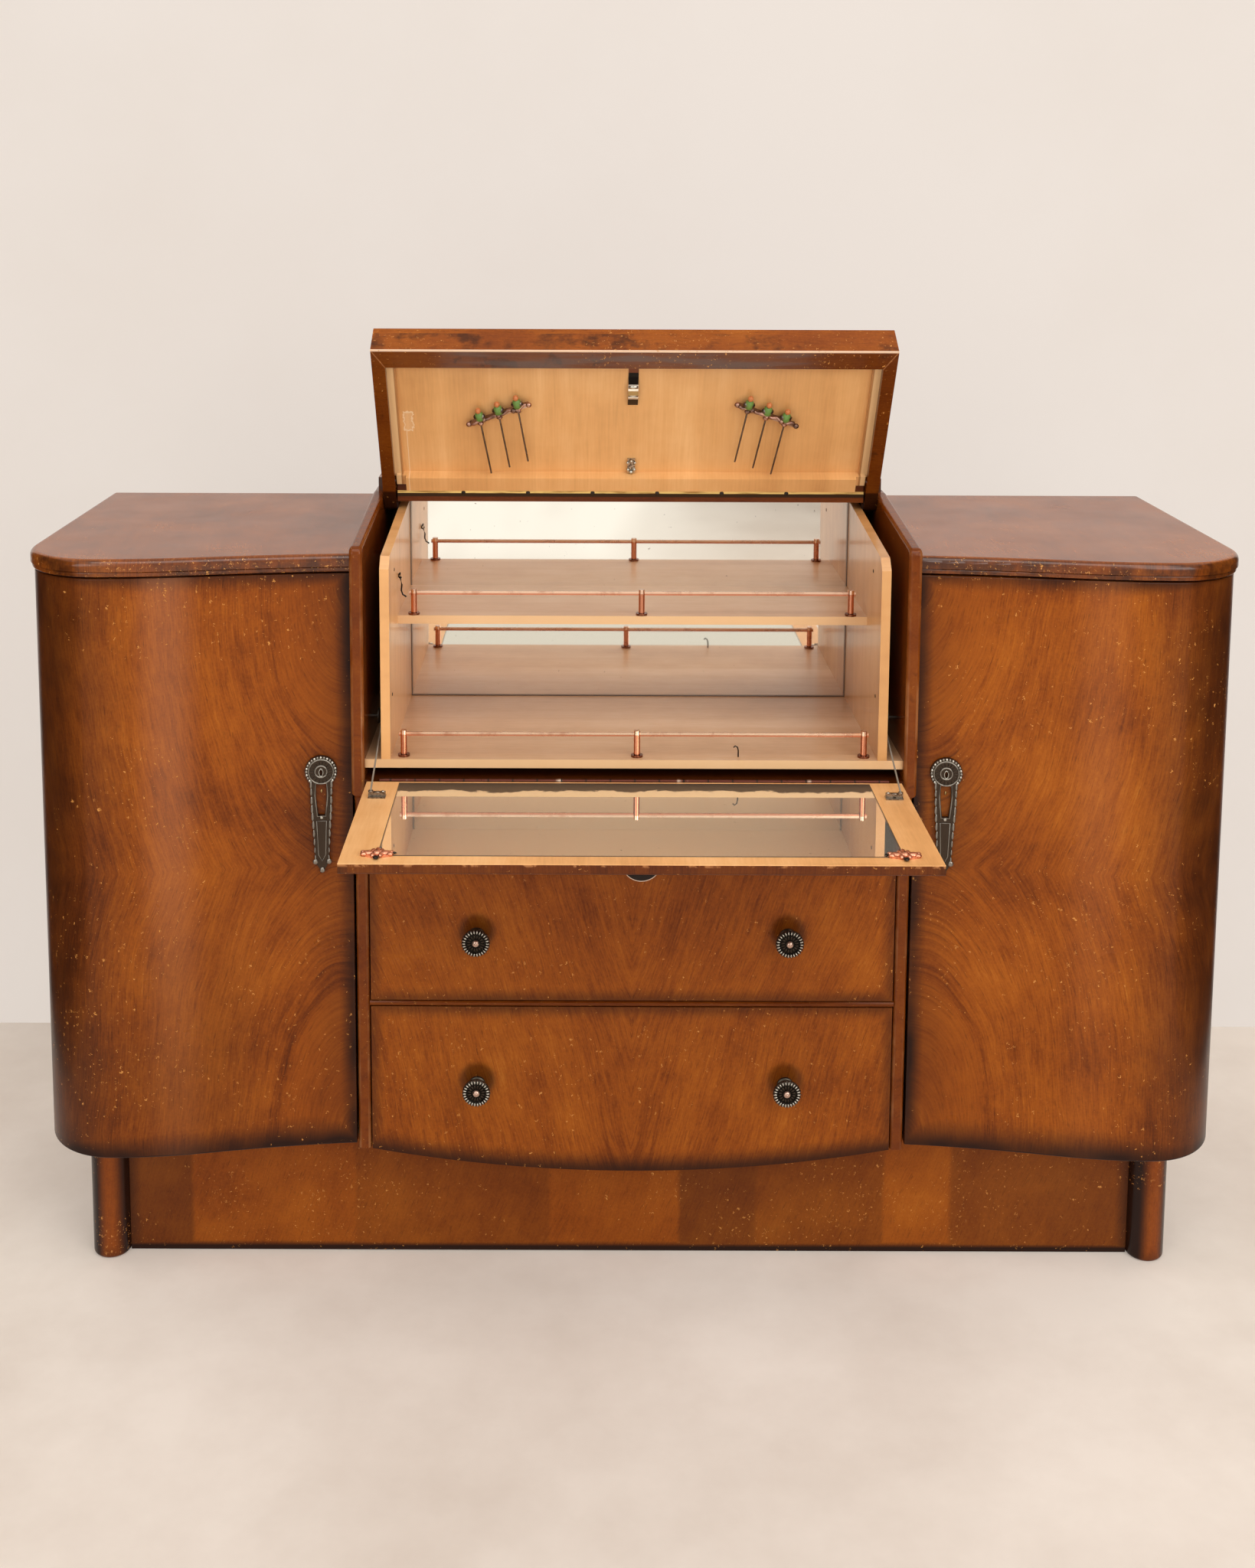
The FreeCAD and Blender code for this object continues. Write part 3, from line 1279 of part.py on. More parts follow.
def make_latch():
    """A bent spring latch at the lid's front and a small catch block at its rear."""
    rear = LID_REAR - s.latch_along + s.latch_length
    front = LID_REAR - s.latch_along
    thick = s.latch_thickness
    half = s.latch_width / 2
    bend = s.latch_length / 4
    spring = prism("latch_spring", "YZ", [
        (front, LID_FACE - thick),
        (front + bend, LID_FACE - thick),
        (front + bend * 2, LID_FACE - thick * 5),
        (front + bend * 3, LID_FACE - thick * 5),
        (rear, LID_FACE - thick),
        (rear, LID_FACE),
        (rear - thick, LID_FACE),
        (front + bend * 3 - thick / 2, LID_FACE - thick * 4),
        (front + bend * 2 + thick / 2, LID_FACE - thick * 4),
        (front + bend + thick / 2, LID_FACE),
        (front, LID_FACE),
    ], -half, half)
    along = LID_REAR - s.catch_along
    block = box("catch_block", (-s.catch_width / 2, s.catch_width / 2),
                (along - s.catch_length / 2, along + s.catch_length / 2),
                (LID_FACE - s.catch_height, LID_FACE))
    SHARED["lid_latch"].extend([spring, block])


def make_pins_and_cords():
    pins = SHARED["pivot_pins"]
    for name, side in SIDES:
        inner = LID_INNER - s.arm_thickness
        outer = UPRIGHT_INNER + s.lid_pin_depth
        start = inner if side > 0 else -outer
        pin = cylinder("lid_pin_" + name, s.lid_pin_radius,
                       (start, PIVOT_Y, PIVOT_Z), outer - inner, "x")
        washer_x = UPRIGHT_INNER - s.washer_thickness if side > 0 else -UPRIGHT_INNER
        washer = cylinder("lid_washer_" + name, s.washer_radius,
                          (washer_x, PIVOT_Y, PIVOT_Z), s.washer_thickness, "x")
        pins.append(fuse("lid_pivot_" + name, [pin, washer]))

    for name, side in SIDES:
        pins.append(pulley_axle(name, side, s.pulley_pin_radius, "pulley_pin_"))
        make_pulley(name, side)
        make_cords(name, side)


def make_pulley(name, side):
    rim = s.pulley_radius
    floor = rim - s.pulley_groove_depth
    half = s.pulley_half_width
    bore = s.pulley_pin_radius + s.pulley_pin_play
    wheel = turned("pulley_wheel_" + name, [
        (bore, -half), (rim, -half), (rim, -half * 0.7), (floor, ZERO), (rim, half * 0.7),
        (rim, half), (bore, half),
    ])
    place(wheel, (CORD_SIDE * side, FRONT + s.pulley_back, PULLEY_Z))
    wheel.Placement = FreeCAD.Placement(wheel.Placement.Base, FreeCAD.Rotation(V(0, 1, 0), 90))
    keep(wheel, "pulley_" + name)


def make_cords(name, side):
    """The lifting cord, in two straight stretches that meet under the pulley."""
    x = CORD_SIDE * side
    knee = s.cord_knee_radius
    y = FRONT + s.pulley_back + knee * sine(s.cord_knee_angle)
    z = PULLEY_Z - knee * cosine(s.cord_knee_angle)
    gap = s.cord_knee_gap
    fall_end = (FALL_AXIS_Y - s.bracket_distance,
                FALL_AXIS_Z + s.bracket_height + s.cord_radius)
    tail_y, tail_z = arm_tail()
    hook = s.arm_eye_share
    end_y, end_z = lid_point(tail_y * hook, tail_z * hook)
    back = s.cord_radius * 2
    SHARED["fall_cords"].append(rod("cord_low_" + name, s.cord_radius, x, fall_end, (y, z)))
    SHARED["lid_cords"].append(rod("cord_high_" + name, s.cord_radius, x,
                                   (y + gap, z + gap), (end_y - back, end_z - back)))


def make_plinth():
    half = s.plinth_half_width
    low = s.plinth_clearance
    high = s.plinth_height
    face = FRONT + s.plinth_setback
    thick = s.plinth_thickness
    rear = BACK - s.plinth_back_inset
    keep(box("plinth_face", (-half, half), (face, face + thick), (low, high)), "plinth_front")
    frame = SHARED["plinth_frame"]
    frame.append(box("plinth_tail", (-half, half), (rear - thick, rear), (low, high)))
    for name, side in SIDES:
        x = span(side, half - thick, half)
        frame.append(box("plinth_end_" + name, x, (face + thick, rear - thick), (low, high)))
        width = s.rear_foot_width
        x = span(side, half - thick - width, half - thick)
        frame.append(box("rear_post_" + name, x, (rear - thick - width, rear - thick),
                         (ZERO, high)))
        foot = s.leg_foot_round
        leg = turned("leg_turning_" + name, [
            (ZERO, ZERO), (s.leg_radius - foot, ZERO, foot, 1), (s.leg_radius, foot),
            (s.leg_radius, high), (ZERO, high),
        ])
        place(leg, ((half + s.leg_radius) * side, FRONT + s.leg_back, ZERO))
        SHARED["front_legs"].append(leg)


for side_name, side_sign in SIDES:
    make_side_cupboard(side_name, side_sign)
    make_door(side_name, side_sign)
    make_upright(side_name, side_sign)
make_centre()
make_cocktail_box()
make_drawer("upper", UPPER_DRAWER_BOTTOM, UPPER_DRAWER_TOP, None, UPPER_RUNNER_TOP)
make_drawer("lower", LOWER_DRAWER_BOTTOM, LOWER_DRAWER_TOP, s.apron_drop, LOWER_RUNNER_TOP)
make_knobs("upper", UPPER_KNOB_HEIGHT)
make_knobs("lower", LOWER_KNOB_HEIGHT)
make_fall()
make_lid()
make_pins_and_cords()
make_plinth()
for node, pieces in SHARED.items():
    keep(group(node + "_set", pieces), node)

DOC.recompute()
for item in DOC.Objects:
    for problem in ("Invalid", "Error"):
        if problem in item.State:
            raise RuntimeError("%s is %s" % (item.Label, problem))
for item in NODES:
    if item.Shape.isNull() or not item.Shape.isValid() or not item.Shape.Solids:
        raise RuntimeError("%s has no valid solid" % item.Label)

os.makedirs("parts", exist_ok=True)
for item in NODES:
    item.Shape.exportStep("parts/%s.step" % item.Label)
print("nodes written:", len(NODES))
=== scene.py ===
"""The looks of a bow-fronted bar cabinet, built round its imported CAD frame. Metres."""
import math

import bmesh
import bpy
from mathutils import Matrix, Vector

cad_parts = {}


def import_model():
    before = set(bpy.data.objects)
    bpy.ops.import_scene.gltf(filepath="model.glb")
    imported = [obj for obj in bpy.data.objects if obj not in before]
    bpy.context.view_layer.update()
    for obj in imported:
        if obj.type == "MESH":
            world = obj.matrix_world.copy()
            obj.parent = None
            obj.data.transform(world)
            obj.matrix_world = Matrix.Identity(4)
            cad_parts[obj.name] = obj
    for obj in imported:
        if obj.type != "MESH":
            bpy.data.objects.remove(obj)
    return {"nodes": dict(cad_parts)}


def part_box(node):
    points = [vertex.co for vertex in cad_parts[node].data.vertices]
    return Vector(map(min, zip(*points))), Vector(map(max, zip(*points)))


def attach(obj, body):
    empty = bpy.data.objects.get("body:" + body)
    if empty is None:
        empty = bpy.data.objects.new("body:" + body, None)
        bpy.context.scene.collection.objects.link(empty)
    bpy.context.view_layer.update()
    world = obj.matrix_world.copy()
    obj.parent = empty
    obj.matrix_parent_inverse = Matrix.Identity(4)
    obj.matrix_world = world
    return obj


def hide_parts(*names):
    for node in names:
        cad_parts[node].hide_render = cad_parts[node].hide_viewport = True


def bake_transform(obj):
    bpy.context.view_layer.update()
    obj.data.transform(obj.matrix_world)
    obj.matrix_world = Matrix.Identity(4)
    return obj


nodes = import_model()["nodes"]
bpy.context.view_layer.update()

X, Y, Z = Vector((1, 0, 0)), Vector((0, 1, 0)), Vector((0, 0, 1))

# Places that several looks and fittings share, in metres
FRONT = -0.0655  # the drawers' faces
DRAWER_HALF = 0.3335  # half a drawer front's width
KNOB_X, UPPER_KNOB, LOWER_KNOB = 0.198, 0.470, 0.270
DOOR_EDGE = 0.3535  # the doors' inner edges
SEAM = 0.566  # the height at which the doors' veneer is matched
PATCH = 0.107  # the reach of the smooth patches in the doors' corners
PULL_X, PULL_Z = 0.392, 0.689  # the middles of the door pulls' round heads
PULL_LEAN = math.asin(0.1018)  # how far the doors' curve turns the pulls
LIP_TOP, LIP_BEND, LIP_DROP = 0.6710, 0.0221, 0.0080  # the finger pull under the fall
LID_PIVOT = Vector((0.0, 0.1595, 0.993))
LID_TILT = math.radians(57.7)  # how far from level the open lid stands at rest
LID_UNDER = -0.0135  # just above the level lid's underside, from its pivot

# The veneers' colours, from dark to pale
DARK = (0.046, 0.010, 0.0015)
DEEP = (0.135, 0.027, 0.002)
MID = (0.255, 0.058, 0.004)
WARM = (0.365, 0.096, 0.007)
PALE = (0.490, 0.165, 0.020)
RED = (0.200, 0.036, 0.006)
STAIN_AND_SHADE = (0.020, 0.006, 0.003)  # the stain along edges, and painted shade and shadow
CHIP = (0.64, 0.28, 0.065)  # bare wood where the finish has come off
PALE_WEAR_AND_HIGHLIGHT = (0.52, 0.22, 0.08)  # corners rubbed pale, pale joints, and painted highlights on the uprights' rounded corners


class Nodes:
    """A node tree, with short calls for the nodes used here."""

    def __init__(self, owner):
        owner.use_nodes = True
        self.tree = owner.node_tree
        self.tree.nodes.clear()

    def add(self, kind, **values):
        node = self.tree.nodes.new(kind)
        for key, value in values.items():
            setattr(node, key, value)
        return node

    def join(self, source, target):
        """Link a node's output to a socket, or set the socket to a number."""
        if hasattr(source, "is_output"):
            self.tree.links.new(source, target)
        else:
            target.default_value = source

    def math(self, operation, a, b=0.0, c=None):
        node = self.add("ShaderNodeMath", operation=operation)
        self.join(a, node.inputs[0])
        self.join(b, node.inputs[1])
        if c is not None:
            self.join(c, node.inputs[2])
        return node.outputs[0]

    def chain(self, operation, first, *others):
        for other in others:
            first = self.math(operation, first, other)
        return first

    def plus(self, *fields):
        return self.chain("ADD", *fields)

    def times(self, *fields):
        return self.chain("MULTIPLY", *fields)

    def most(self, *fields):
        return self.chain("MAXIMUM", *fields)

    def minus(self, a, b):
        return self.math("SUBTRACT", a, b)

    def below(self, a, b):
        return self.math("LESS_THAN", a, b)

    def size(self, a):
        return self.math("ABSOLUTE", a)

    def away(self, a, middle):
        return self.size(self.minus(a, middle))

    def length(self, a, b):
        return self.math("SQRT", self.plus(self.times(a, a), self.times(b, b)))

    def seen(self):
        """1 for the camera and for reflections, 0 for the light that falls on things."""
        rays = self.add("ShaderNodeLightPath").outputs
        return self.most(rays["Is Camera Ray"], rays["Is Glossy Ray"],
                         rays["Is Transmission Ray"])


class Web(Nodes):
    """A material's nodes. x, y and z are places on the piece at rest, and off is how far
    they are from the cabinet's middle."""

    def __init__(self, name):
        self.material = bpy.data.materials.new(name)
        super().__init__(self.material)
        self.output = self.add("ShaderNodeOutputMaterial")
        self.bsdf = self.add("ShaderNodeBsdfPrincipled")
        self.show(self.bsdf.outputs[0])
        self.place = self.add("ShaderNodeTexCoord").outputs["Object"]
        self.x, self.y, self.z = self.split(self.place)
        self.off = self.size(self.x)

    def show(self, shader):
        self.join(shader, self.output.inputs["Surface"])

    def split(self, vector):
        node = self.add("ShaderNodeSeparateXYZ")
        self.join(vector, node.inputs[0])
        return node.outputs

    def normal(self):
        """The surface's direction in the piece's own axes, so it turns with the piece."""
        return self.split(self.add("ShaderNodeTexCoord").outputs["Normal"])

    def noise(self, scale, detail=3.0, rough=0.55, where=None, output="Fac"):
        node = self.add("ShaderNodeTexNoise")
        self.join(where if where is not None else self.place, node.inputs["Vector"])
        node.inputs["Scale"].default_value = scale
        node.inputs["Detail"].default_value = detail
        node.inputs["Roughness"].default_value = rough
        return node.outputs[output]

    def grain(self, x, y, z, detail=3.0, rough=0.55):
        """Noise over three fields that already have their scales."""
        node = self.add("ShaderNodeCombineXYZ")
        for value, target in zip((x, y, z), node.inputs):
            self.join(value, target)
        return self.noise(1.0, detail, rough, node.outputs[0])

    def waver(self, amount, scale, detail=2.0, rough=0.55):
        """A noise about 0, to bend lines with."""
        return self.times(self.minus(self.noise(scale, detail, rough), 0.5), amount)

    def uneven(self, shade, scale):
        """The shade, made stronger in some places than in others."""
        return self.times(shade, self.math("MULTIPLY_ADD", self.noise(scale, 2.0), 0.9, 0.50))

    def cells(self, vector, scale):
        node = self.add("ShaderNodeTexVoronoi")
        self.join(vector, node.inputs["Vector"])
        node.inputs["Scale"].default_value = scale
        return node.outputs["Distance"], node.outputs["Color"]

    def ramp(self, value, stops, sharp=False):
        node = self.add("ShaderNodeValToRGB")
        self.join(value, node.inputs[0])
        if sharp:
            node.color_ramp.interpolation = "CONSTANT"
        items = node.color_ramp.elements
        while len(items) < len(stops):
            items.new(0.5)
        for item, (where, colour) in zip(items, stops):
            item.position = where
            item.color = (*colour, 1.0)
        return node.outputs["Color"]

    def blend(self, fields, middle=0.5):
        """A weighted sum of noises that keeps its middle where it is told to."""
        total = middle - 0.5 * sum(weight for field, weight in fields)
        for field, weight in fields:
            total = self.math("MULTIPLY_ADD", field, weight, total)
        return total

    def step(self, value, start, end, before, after):
        """A smooth change from one number to another between two values of a field."""
        node = self.add("ShaderNodeMapRange", interpolation_type="SMOOTHSTEP")
        self.join(value, node.inputs["Value"])
        for key, number in zip(("From Min", "From Max", "To Min", "To Max"),
                               (start, end, before, after)):
            node.inputs[key].default_value = number
        return node.outputs[0]

    def grow(self, value, start, end, full=1.0):
        """Nothing before the start, all of it after the end."""
        return self.step(value, start, end, 0.0, full)

    def fade(self, value, start, end, full=1.0):
        """All of it before the start, nothing after the end."""
        return self.step(value, start, end, full, 0.0)

    def near(self, field, middle, half, soft):
        """1 where the field is within half of its middle, with a soft end."""
        return self.fade(self.away(field, middle), half, half + soft)

    def mix(self, share, a, b, kind="MIX"):
        node = self.add("ShaderNodeMix", data_type="RGBA", blend_type=kind)
        self.join(share, node.inputs["Factor"])
        for key, value in (("A", a), ("B", b)):
            target = [item for item in node.inputs if item.name == key and item.type == "RGBA"][0]
            self.join(value if hasattr(value, "is_output") else (*value, 1.0), target)
        return [item for item in node.outputs if item.type == "RGBA"][0]

    def lay(self, colour, layers):
        """Lay each mask's colour over what is there."""
        for mask, tint in layers:
            colour = self.mix(mask(self), colour, tint)
        return colour

    def mix_shaders(self, share, first, second):
        node = self.add("ShaderNodeMixShader")
        for source, target in zip((share, first, second), node.inputs):
            self.join(source, target)
        return node.outputs[0]

    def bump(self, height, strength, distance):
        node = self.add("ShaderNodeBump")
        self.join(height, node.inputs["Height"])
        node.inputs["Strength"].default_value = strength
        node.inputs["Distance"].default_value = distance
        self.join(node.outputs[0], self.bsdf.inputs["Normal"])

    def set(self, **values):
        names = {"colour": "Base Color", "rough": "Roughness", "metal": "Metallic",
                 "coat": "Coat Weight", "coat_rough": "Coat Roughness",
                 "specular": "Specular IOR Level"}
        for key, value in values.items():
            self.join(value, self.bsdf.inputs[names[key]])


def paint(names, material):
    for name in names.split():
        data = nodes[name].data
        data.materials.clear()
        data.materials.append(material)


# Each size of chip: cells in a metre, the share of them that hold one, and how wide it is
CHIP_SIZES = ((55.0, 0.23, 0.095), (130.0, 0.24, 0.160), (260.0, 0.12, 0.22))


def chips(web, amount):
    """A mask of small ragged spots where the finish has come off, in loose clusters."""
    shift = web.add("ShaderNodeVectorMath", operation="MULTIPLY_ADD")
    web.join(web.noise(260.0, 3.0, 0.7, output="Color"), shift.inputs[0])
    shift.inputs[1].default_value = (0.012, 0.012, 0.012)
    web.join(web.place, shift.inputs[2])
    cluster = web.times(web.grow(web.noise(7.0, 2.0), 0.41, 0.60), amount)
    total = 0.0
    for scale, share, wide in CHIP_SIZES:
        spot, tint = web.cells(shift.outputs[0], scale)
        chosen = web.minus(web.split(tint)[0], web.minus(1.0, web.times(cluster, share)))
        reach = web.times(web.below(0.0, chosen), wide)
        total = web.most(web.below(spot, reach), total)
    return total


def walnut(parts, name, across, along, tone=1.0, figure=1.0, shade=None, worn=0.0, red=0.0,
           gloss=0.30, extra=None, lift=0.0, sheen=0.14, streak=1.0, layers=(), polish=None):
    """Veneer whose grain runs along the level lines of one field and varies slowly with another.
    across, along, shade, worn and polish may be functions of the web that give fields, and each
    of the layers is such a function with the colour that it lays over the wood."""
    web = Web(name)
    u = web.plus(across(web), web.waver(0.045 * figure, 3.2))
    u = web.plus(u, web.waver(0.004 * figure, 16.0))
    v = along(web)

    def streaks(dense, slow, seed, detail=3.0):
        return web.grain(web.times(u, dense), web.times(v, slow), seed, detail, 0.6)

    fine = streaks(520.0, 34.0, 0.0)
    thin = streaks(150.0, 9.0, 4.0)
    band = streaks(30.0, 2.4, 9.0)
    cloud = web.noise(8.5, 5.0, 0.62)
    broad = web.noise(2.8, 2.0)
    grit = web.noise(330.0, 2.0)
    value = web.blend([(fine, 0.24 * streak), (thin, 0.15 * streak), (band, 0.16 * streak),
                       (cloud, 0.30), (broad, 0.14), (grit, 0.10)], 0.5 + lift)
    if extra is not None:
        value = extra(web, u, value)
    colour = web.ramp(value, [(0.31, DARK), (0.41, DEEP), (0.50, MID), (0.59, WARM), (0.72, PALE)])
    pores = web.grow(streaks(760.0, 52.0, 6.0, 2.0), 0.58, 0.70)
    colour = web.mix(web.times(pores, 0.42), colour, DARK)
    if red:
        colour = web.mix(red, colour, RED)
    if shade is not None:
        colour = web.mix(shade(web), colour, STAIN_AND_SHADE)
    colour = web.lay(colour, layers)
    if worn:
        chip = chips(web, worn(web) if callable(worn) else worn)
        depth = web.step(web.noise(90.0, 2.0), 0.30, 0.62, 0.35, 1.0)
        colour = web.mix(web.times(chip, depth), colour, CHIP)
    if tone != 1.0:
        colour = web.mix(1.0, colour, (tone, tone, tone), "MULTIPLY")
    rough = web.math("MULTIPLY_ADD", web.noise(12.0), 0.14, gloss - 0.07)
    coat = polish(web) if polish is not None else sheen * 0.4
    web.set(colour=colour, rough=rough, coat=coat, coat_rough=0.10, specular=sheen)
    web.bump(web.plus(web.times(thin, 0.4), web.times(fine, 0.3)), 0.10, 0.0005)
    paint(parts, web.material)


def door_across(web):
    """Ovals round the inner top and bottom corners, alike above and below the middle seam."""
    sideways = web.plus(web.minus(web.off, DOOR_EDGE), web.most(web.plus(web.y, 0.03), 0.0))
    rise = web.times(web.minus(0.375, web.away(web.z, SEAM)), 0.45)
    return web.length(sideways, rise)


def door_along(web):
    return web.minus(web.away(web.z, SEAM), web.times(web.off, 0.4))


def door_figure(web, u, value):
    """A dark line round the smooth corner patches, a redder outer third and a knotty seam,
    and the right door painted a little lighter than the left, as painted light.
    """
    broken = web.step(web.noise(10.0, 2.0), 0.35, 0.65, 0.3, 1.0)
    strength = web.step(web.z, SEAM - 0.05, SEAM + 0.05, 0.075, 0.040)
    line = web.times(web.fade(web.away(u, PATCH), 0.0, 0.013), broken, strength)
    value = web.minus(value, line)
    inside = web.fade(u, PATCH - 0.02, PATCH)
    calm = web.plus(web.times(web.minus(value, 0.5), 0.60), 0.495)
    value = web.plus(web.times(inside, calm), web.times(web.minus(1.0, inside), value))
    value = web.minus(value, web.grow(u, 0.24, 0.42, 0.045))
    knot = web.times(web.fade(web.away(web.z, SEAM), 0.0, 0.035, 0.06),
                     web.minus(web.noise(26.0), 0.38))
    return web.plus(value, knot, web.step(web.x, -0.01, 0.01, -0.004, 0.014))


def door_painted_highlight(web):
    """A painted highlight: a soft paler column where the door begins to curve away, stronger
    on the left door.
    """
    column = web.fade(web.away(web.off, 0.577), 0.004, 0.048)
    reach = web.step(web.z, 0.22, 0.72, 0.25, 1.0)
    return web.times(column, reach, web.step(web.x, -0.01, 0.01, 0.15, 0.06))


def door_shade(web):
    """Stain along the door's edges and dirt round its pull; painted shadow under the top
    moulding; stain and painted shade on the outer curve; painted shade on the door's sides
    and low down on the left door.
    """
    inner = web.minus(web.off, DOOR_EDGE)
    pull = web.length(web.minus(web.off, PULL_X), web.times(web.minus(web.z, 0.640), 0.45))
    low_left = web.times(web.fade(web.z, 0.30, 0.62, 0.30), web.fade(web.x, -0.52, -0.42))
    total = web.most(web.fade(inner, 0.0, 0.030, 0.95), web.fade(inner, 0.0, 0.075, 0.30),
                     web.grow(web.z, 0.917, 0.941, 0.80), web.fade(web.z, 0.190, 0.238),
                     web.grow(web.off, 0.590, 0.735, 0.76), web.grow(web.y, -0.03, 0.083, 0.62),
                     web.fade(pull, 0.020, 0.060, 0.32), low_left)
    return web.most(web.uneven(total, 11.0), web.fade(web.z, 0.1915, 0.1965))


def slanted(lean, fold=True):
    """Straight grain at a slant, mirrored about the cabinet's middle if it is folded."""
    def across(web):
        return web.minus(web.off if fold else web.x, web.times(web.z, lean))

    return across


def up(web):
    return web.z


def side(web):
    return web.x


def back(web):
    return web.y


def drawer_shade(web, foot, top, knob):
    """Dark along a drawer's edges, and painted shadow round its knobs."""
    halo = web.length(web.minus(web.off, KNOB_X), web.minus(web.z, knob + 0.006))
    total = web.most(web.grow(web.off, DRAWER_HALF - 0.020, DRAWER_HALF, 0.60),
                     web.grow(web.z, top - 0.020, top, 0.60),
                     web.fade(web.z, foot, foot + 0.020, 0.60), web.fade(halo, 0.0175, 0.028, 0.58))
    return web.uneven(total, 9.0)


def upper_shade(web):
    """The upper drawer's edges, and painted shade under the middle of the fall."""
    shade_under_fall = web.length(web.times(web.x, 0.28), web.minus(web.z, 0.585))
    return web.most(drawer_shade(web, 0.384, 0.596, UPPER_KNOB),
                    web.fade(shade_under_fall, 0.0, 0.055, 0.45))


def apron_shade(web):
    """The lower drawer's edges, and its curved foot."""
    foot = web.minus(web.minus(web.z, 0.152), web.times(web.x, web.x, 0.27))
    return web.most(drawer_shade(web, 0.0, 0.375, LOWER_KNOB), web.fade(foot, 0.0, 0.030, 0.90))


# The plinth's blocks of veneer: where each begins, from left to right, and how dark it is
PLINTH_BLOCKS = ((-0.666, 0.46), (-0.582, 0.04), (-0.365, 0.24), (-0.106, 0.00), (0.067, 0.44),
                 (0.170, 0.30), (0.340, 0.00), (0.428, 0.34), (0.560, 0.38))


def plinth_bands_and_shadow(web):
    """Blocks of veneer, light and dark by turns, joined at upright seams, with painted shadow
    beside the legs and along the foot.
    """
    x = web.plus(web.x, web.waver(0.006, 12.0, 1.0))
    total = last = PLINTH_BLOCKS[0][1]
    for seam, dark in PLINTH_BLOCKS[1:]:
        total = web.plus(web.grow(x, seam - 0.004, seam + 0.004, dark - last), total)
        last = dark
    return web.most(total, web.grow(web.size(x), 0.630, 0.666, 0.75),
                    web.fade(web.z, 0.006, 0.016))


def leg_painted_shade(web):
    """Painted shade round a leg's sides, leaving a lighter stripe a little right of the middle,
    and painted shade under the carcase and at the floor.
    """
    sides = web.grow(web.away(web.normal()[0], 0.14), 0.10, 0.75)
    return web.most(sides, web.fade(web.z, 0.0, 0.022, 0.5), web.grow(web.z, 0.165, 0.192, 0.7))


def rolled_edge(web):
    """1 on a side top's moulded edge, 0 on its flat face."""
    return web.fade(web.normal()[2], 0.70, 0.985)


def top_shade(web):
    mottle = web.step(web.noise(22.0, 4.0, 0.65), 0.38, 0.66, 0.80, 0.15)
    return web.times(rolled_edge(web), mottle)


def top_wear(web):
    return web.math("MULTIPLY_ADD", rolled_edge(web), 3.0, 0.15)


def top_polish(web):
    return web.math("MULTIPLY_ADD", rolled_edge(web), 0.22, 0.10)


def upright_corner_highlight(web):
    """A painted highlight on the rounded edges between an upright's front and its sides."""
    facing = web.normal()
    both = web.size(web.times(facing[0], facing[1]))
    return web.times(web.grow(both, 0.12, 0.40),
                     web.step(web.noise(18.0), 0.38, 0.66, 0.05, 0.55))


def fall_across(web):
    return web.plus(web.off, web.times(web.y, 0.35))


def fall_shade(web):
    """Dark along the front edge of the open fall, and lighter on its outer face."""
    return web.most(
        web.fade(web.y, -0.3605, -0.3560, 0.52), web.fade(web.y, -0.3560, -0.325, 0.45),
        web.grow(web.off, 0.296, 0.3315, 0.75), web.grow(web.y, -0.135, -0.098, 0.70))


def fall_chips(web):
    """Where the varnish has worn off the top edge of the open fall's front."""
    return web.times(web.grow(web.noise(60.0, 4.0, 0.7), 0.50, 0.60),
                     web.grow(web.z, 0.6792, 0.6822, 0.75))


def lip_hollow(web):
    """The shadowed front of the finger pull that hangs under the fall."""
    return web.fade(web.z, LIP_TOP - 0.0003, LIP_TOP)


def lip_rim_highlight(web):
    """A painted highlight along the pale lower edge of the finger pull."""
    radius = web.length(web.x, web.minus(web.z, LIP_TOP + LIP_BEND - LIP_DROP))
    return web.times(web.grow(radius, LIP_BEND - 0.0011, LIP_BEND - 0.0007), lip_hollow(web))


def lid_axes(web):
    """Places on the lid as if it lay level, measured from its pivot, with x folded."""
    y = web.minus(web.y, LID_PIVOT.y)
    z = web.minus(web.z, LID_PIVOT.z)
    cos, sin = math.cos(LID_TILT), math.sin(LID_TILT)
    return (web.off, web.minus(web.times(y, cos), web.times(z, sin)),
            web.plus(web.times(y, sin), web.times(z, cos)))


def lid_edge_wear_and_highlight(web):
    """The pale line between the lid's front face and its underside: worn wood with a painted
    highlight.
    """
    y, z = lid_axes(web)[1:]
    return web.times(web.near(y, -0.267, 0.0014, 0.0012), web.near(z, -0.014, 0.0014, 0.0012))


def lid_mitres(web):
    """The pale joints at the corners of the lid's rim."""
    x, y, z = lid_axes(web)
    slant = web.minus(web.times(web.minus(x, 0.317), 0.85),
                      web.times(web.minus(-0.239, y), 0.52))
    line = web.near(slant, 0.0, 0.0004, 0.0006)
    return web.times(line, web.below(z, LID_UNDER), 0.45)


def lid_painted_reflection(web):
    """A painted greyish reflection in the middle of the lid's front underside."""
    x, y, z = lid_axes(web)
    patch = web.grow(web.grain(web.times(x, 6.0), web.times(y, 60.0), 0.0), 0.40, 0.62, 0.55)
    return web.times(patch, web.below(z, LID_UNDER), web.fade(x, 0.20, 0.26))


def lid_shade(web):
    """A mottled front face, a darker underside, and painted shade on the tails beside the pivot."""
    y, z = lid_axes(web)[1:]
    return web.most(web.times(web.below(z, LID_UNDER), 0.50), web.grow(y, -0.2665, -0.262, 0.45),
                    web.grow(web.noise(24.0, 4.0, 0.65), 0.48, 0.70, 0.75),
                    web.fade(web.z, 1.006, 1.013, 0.93))


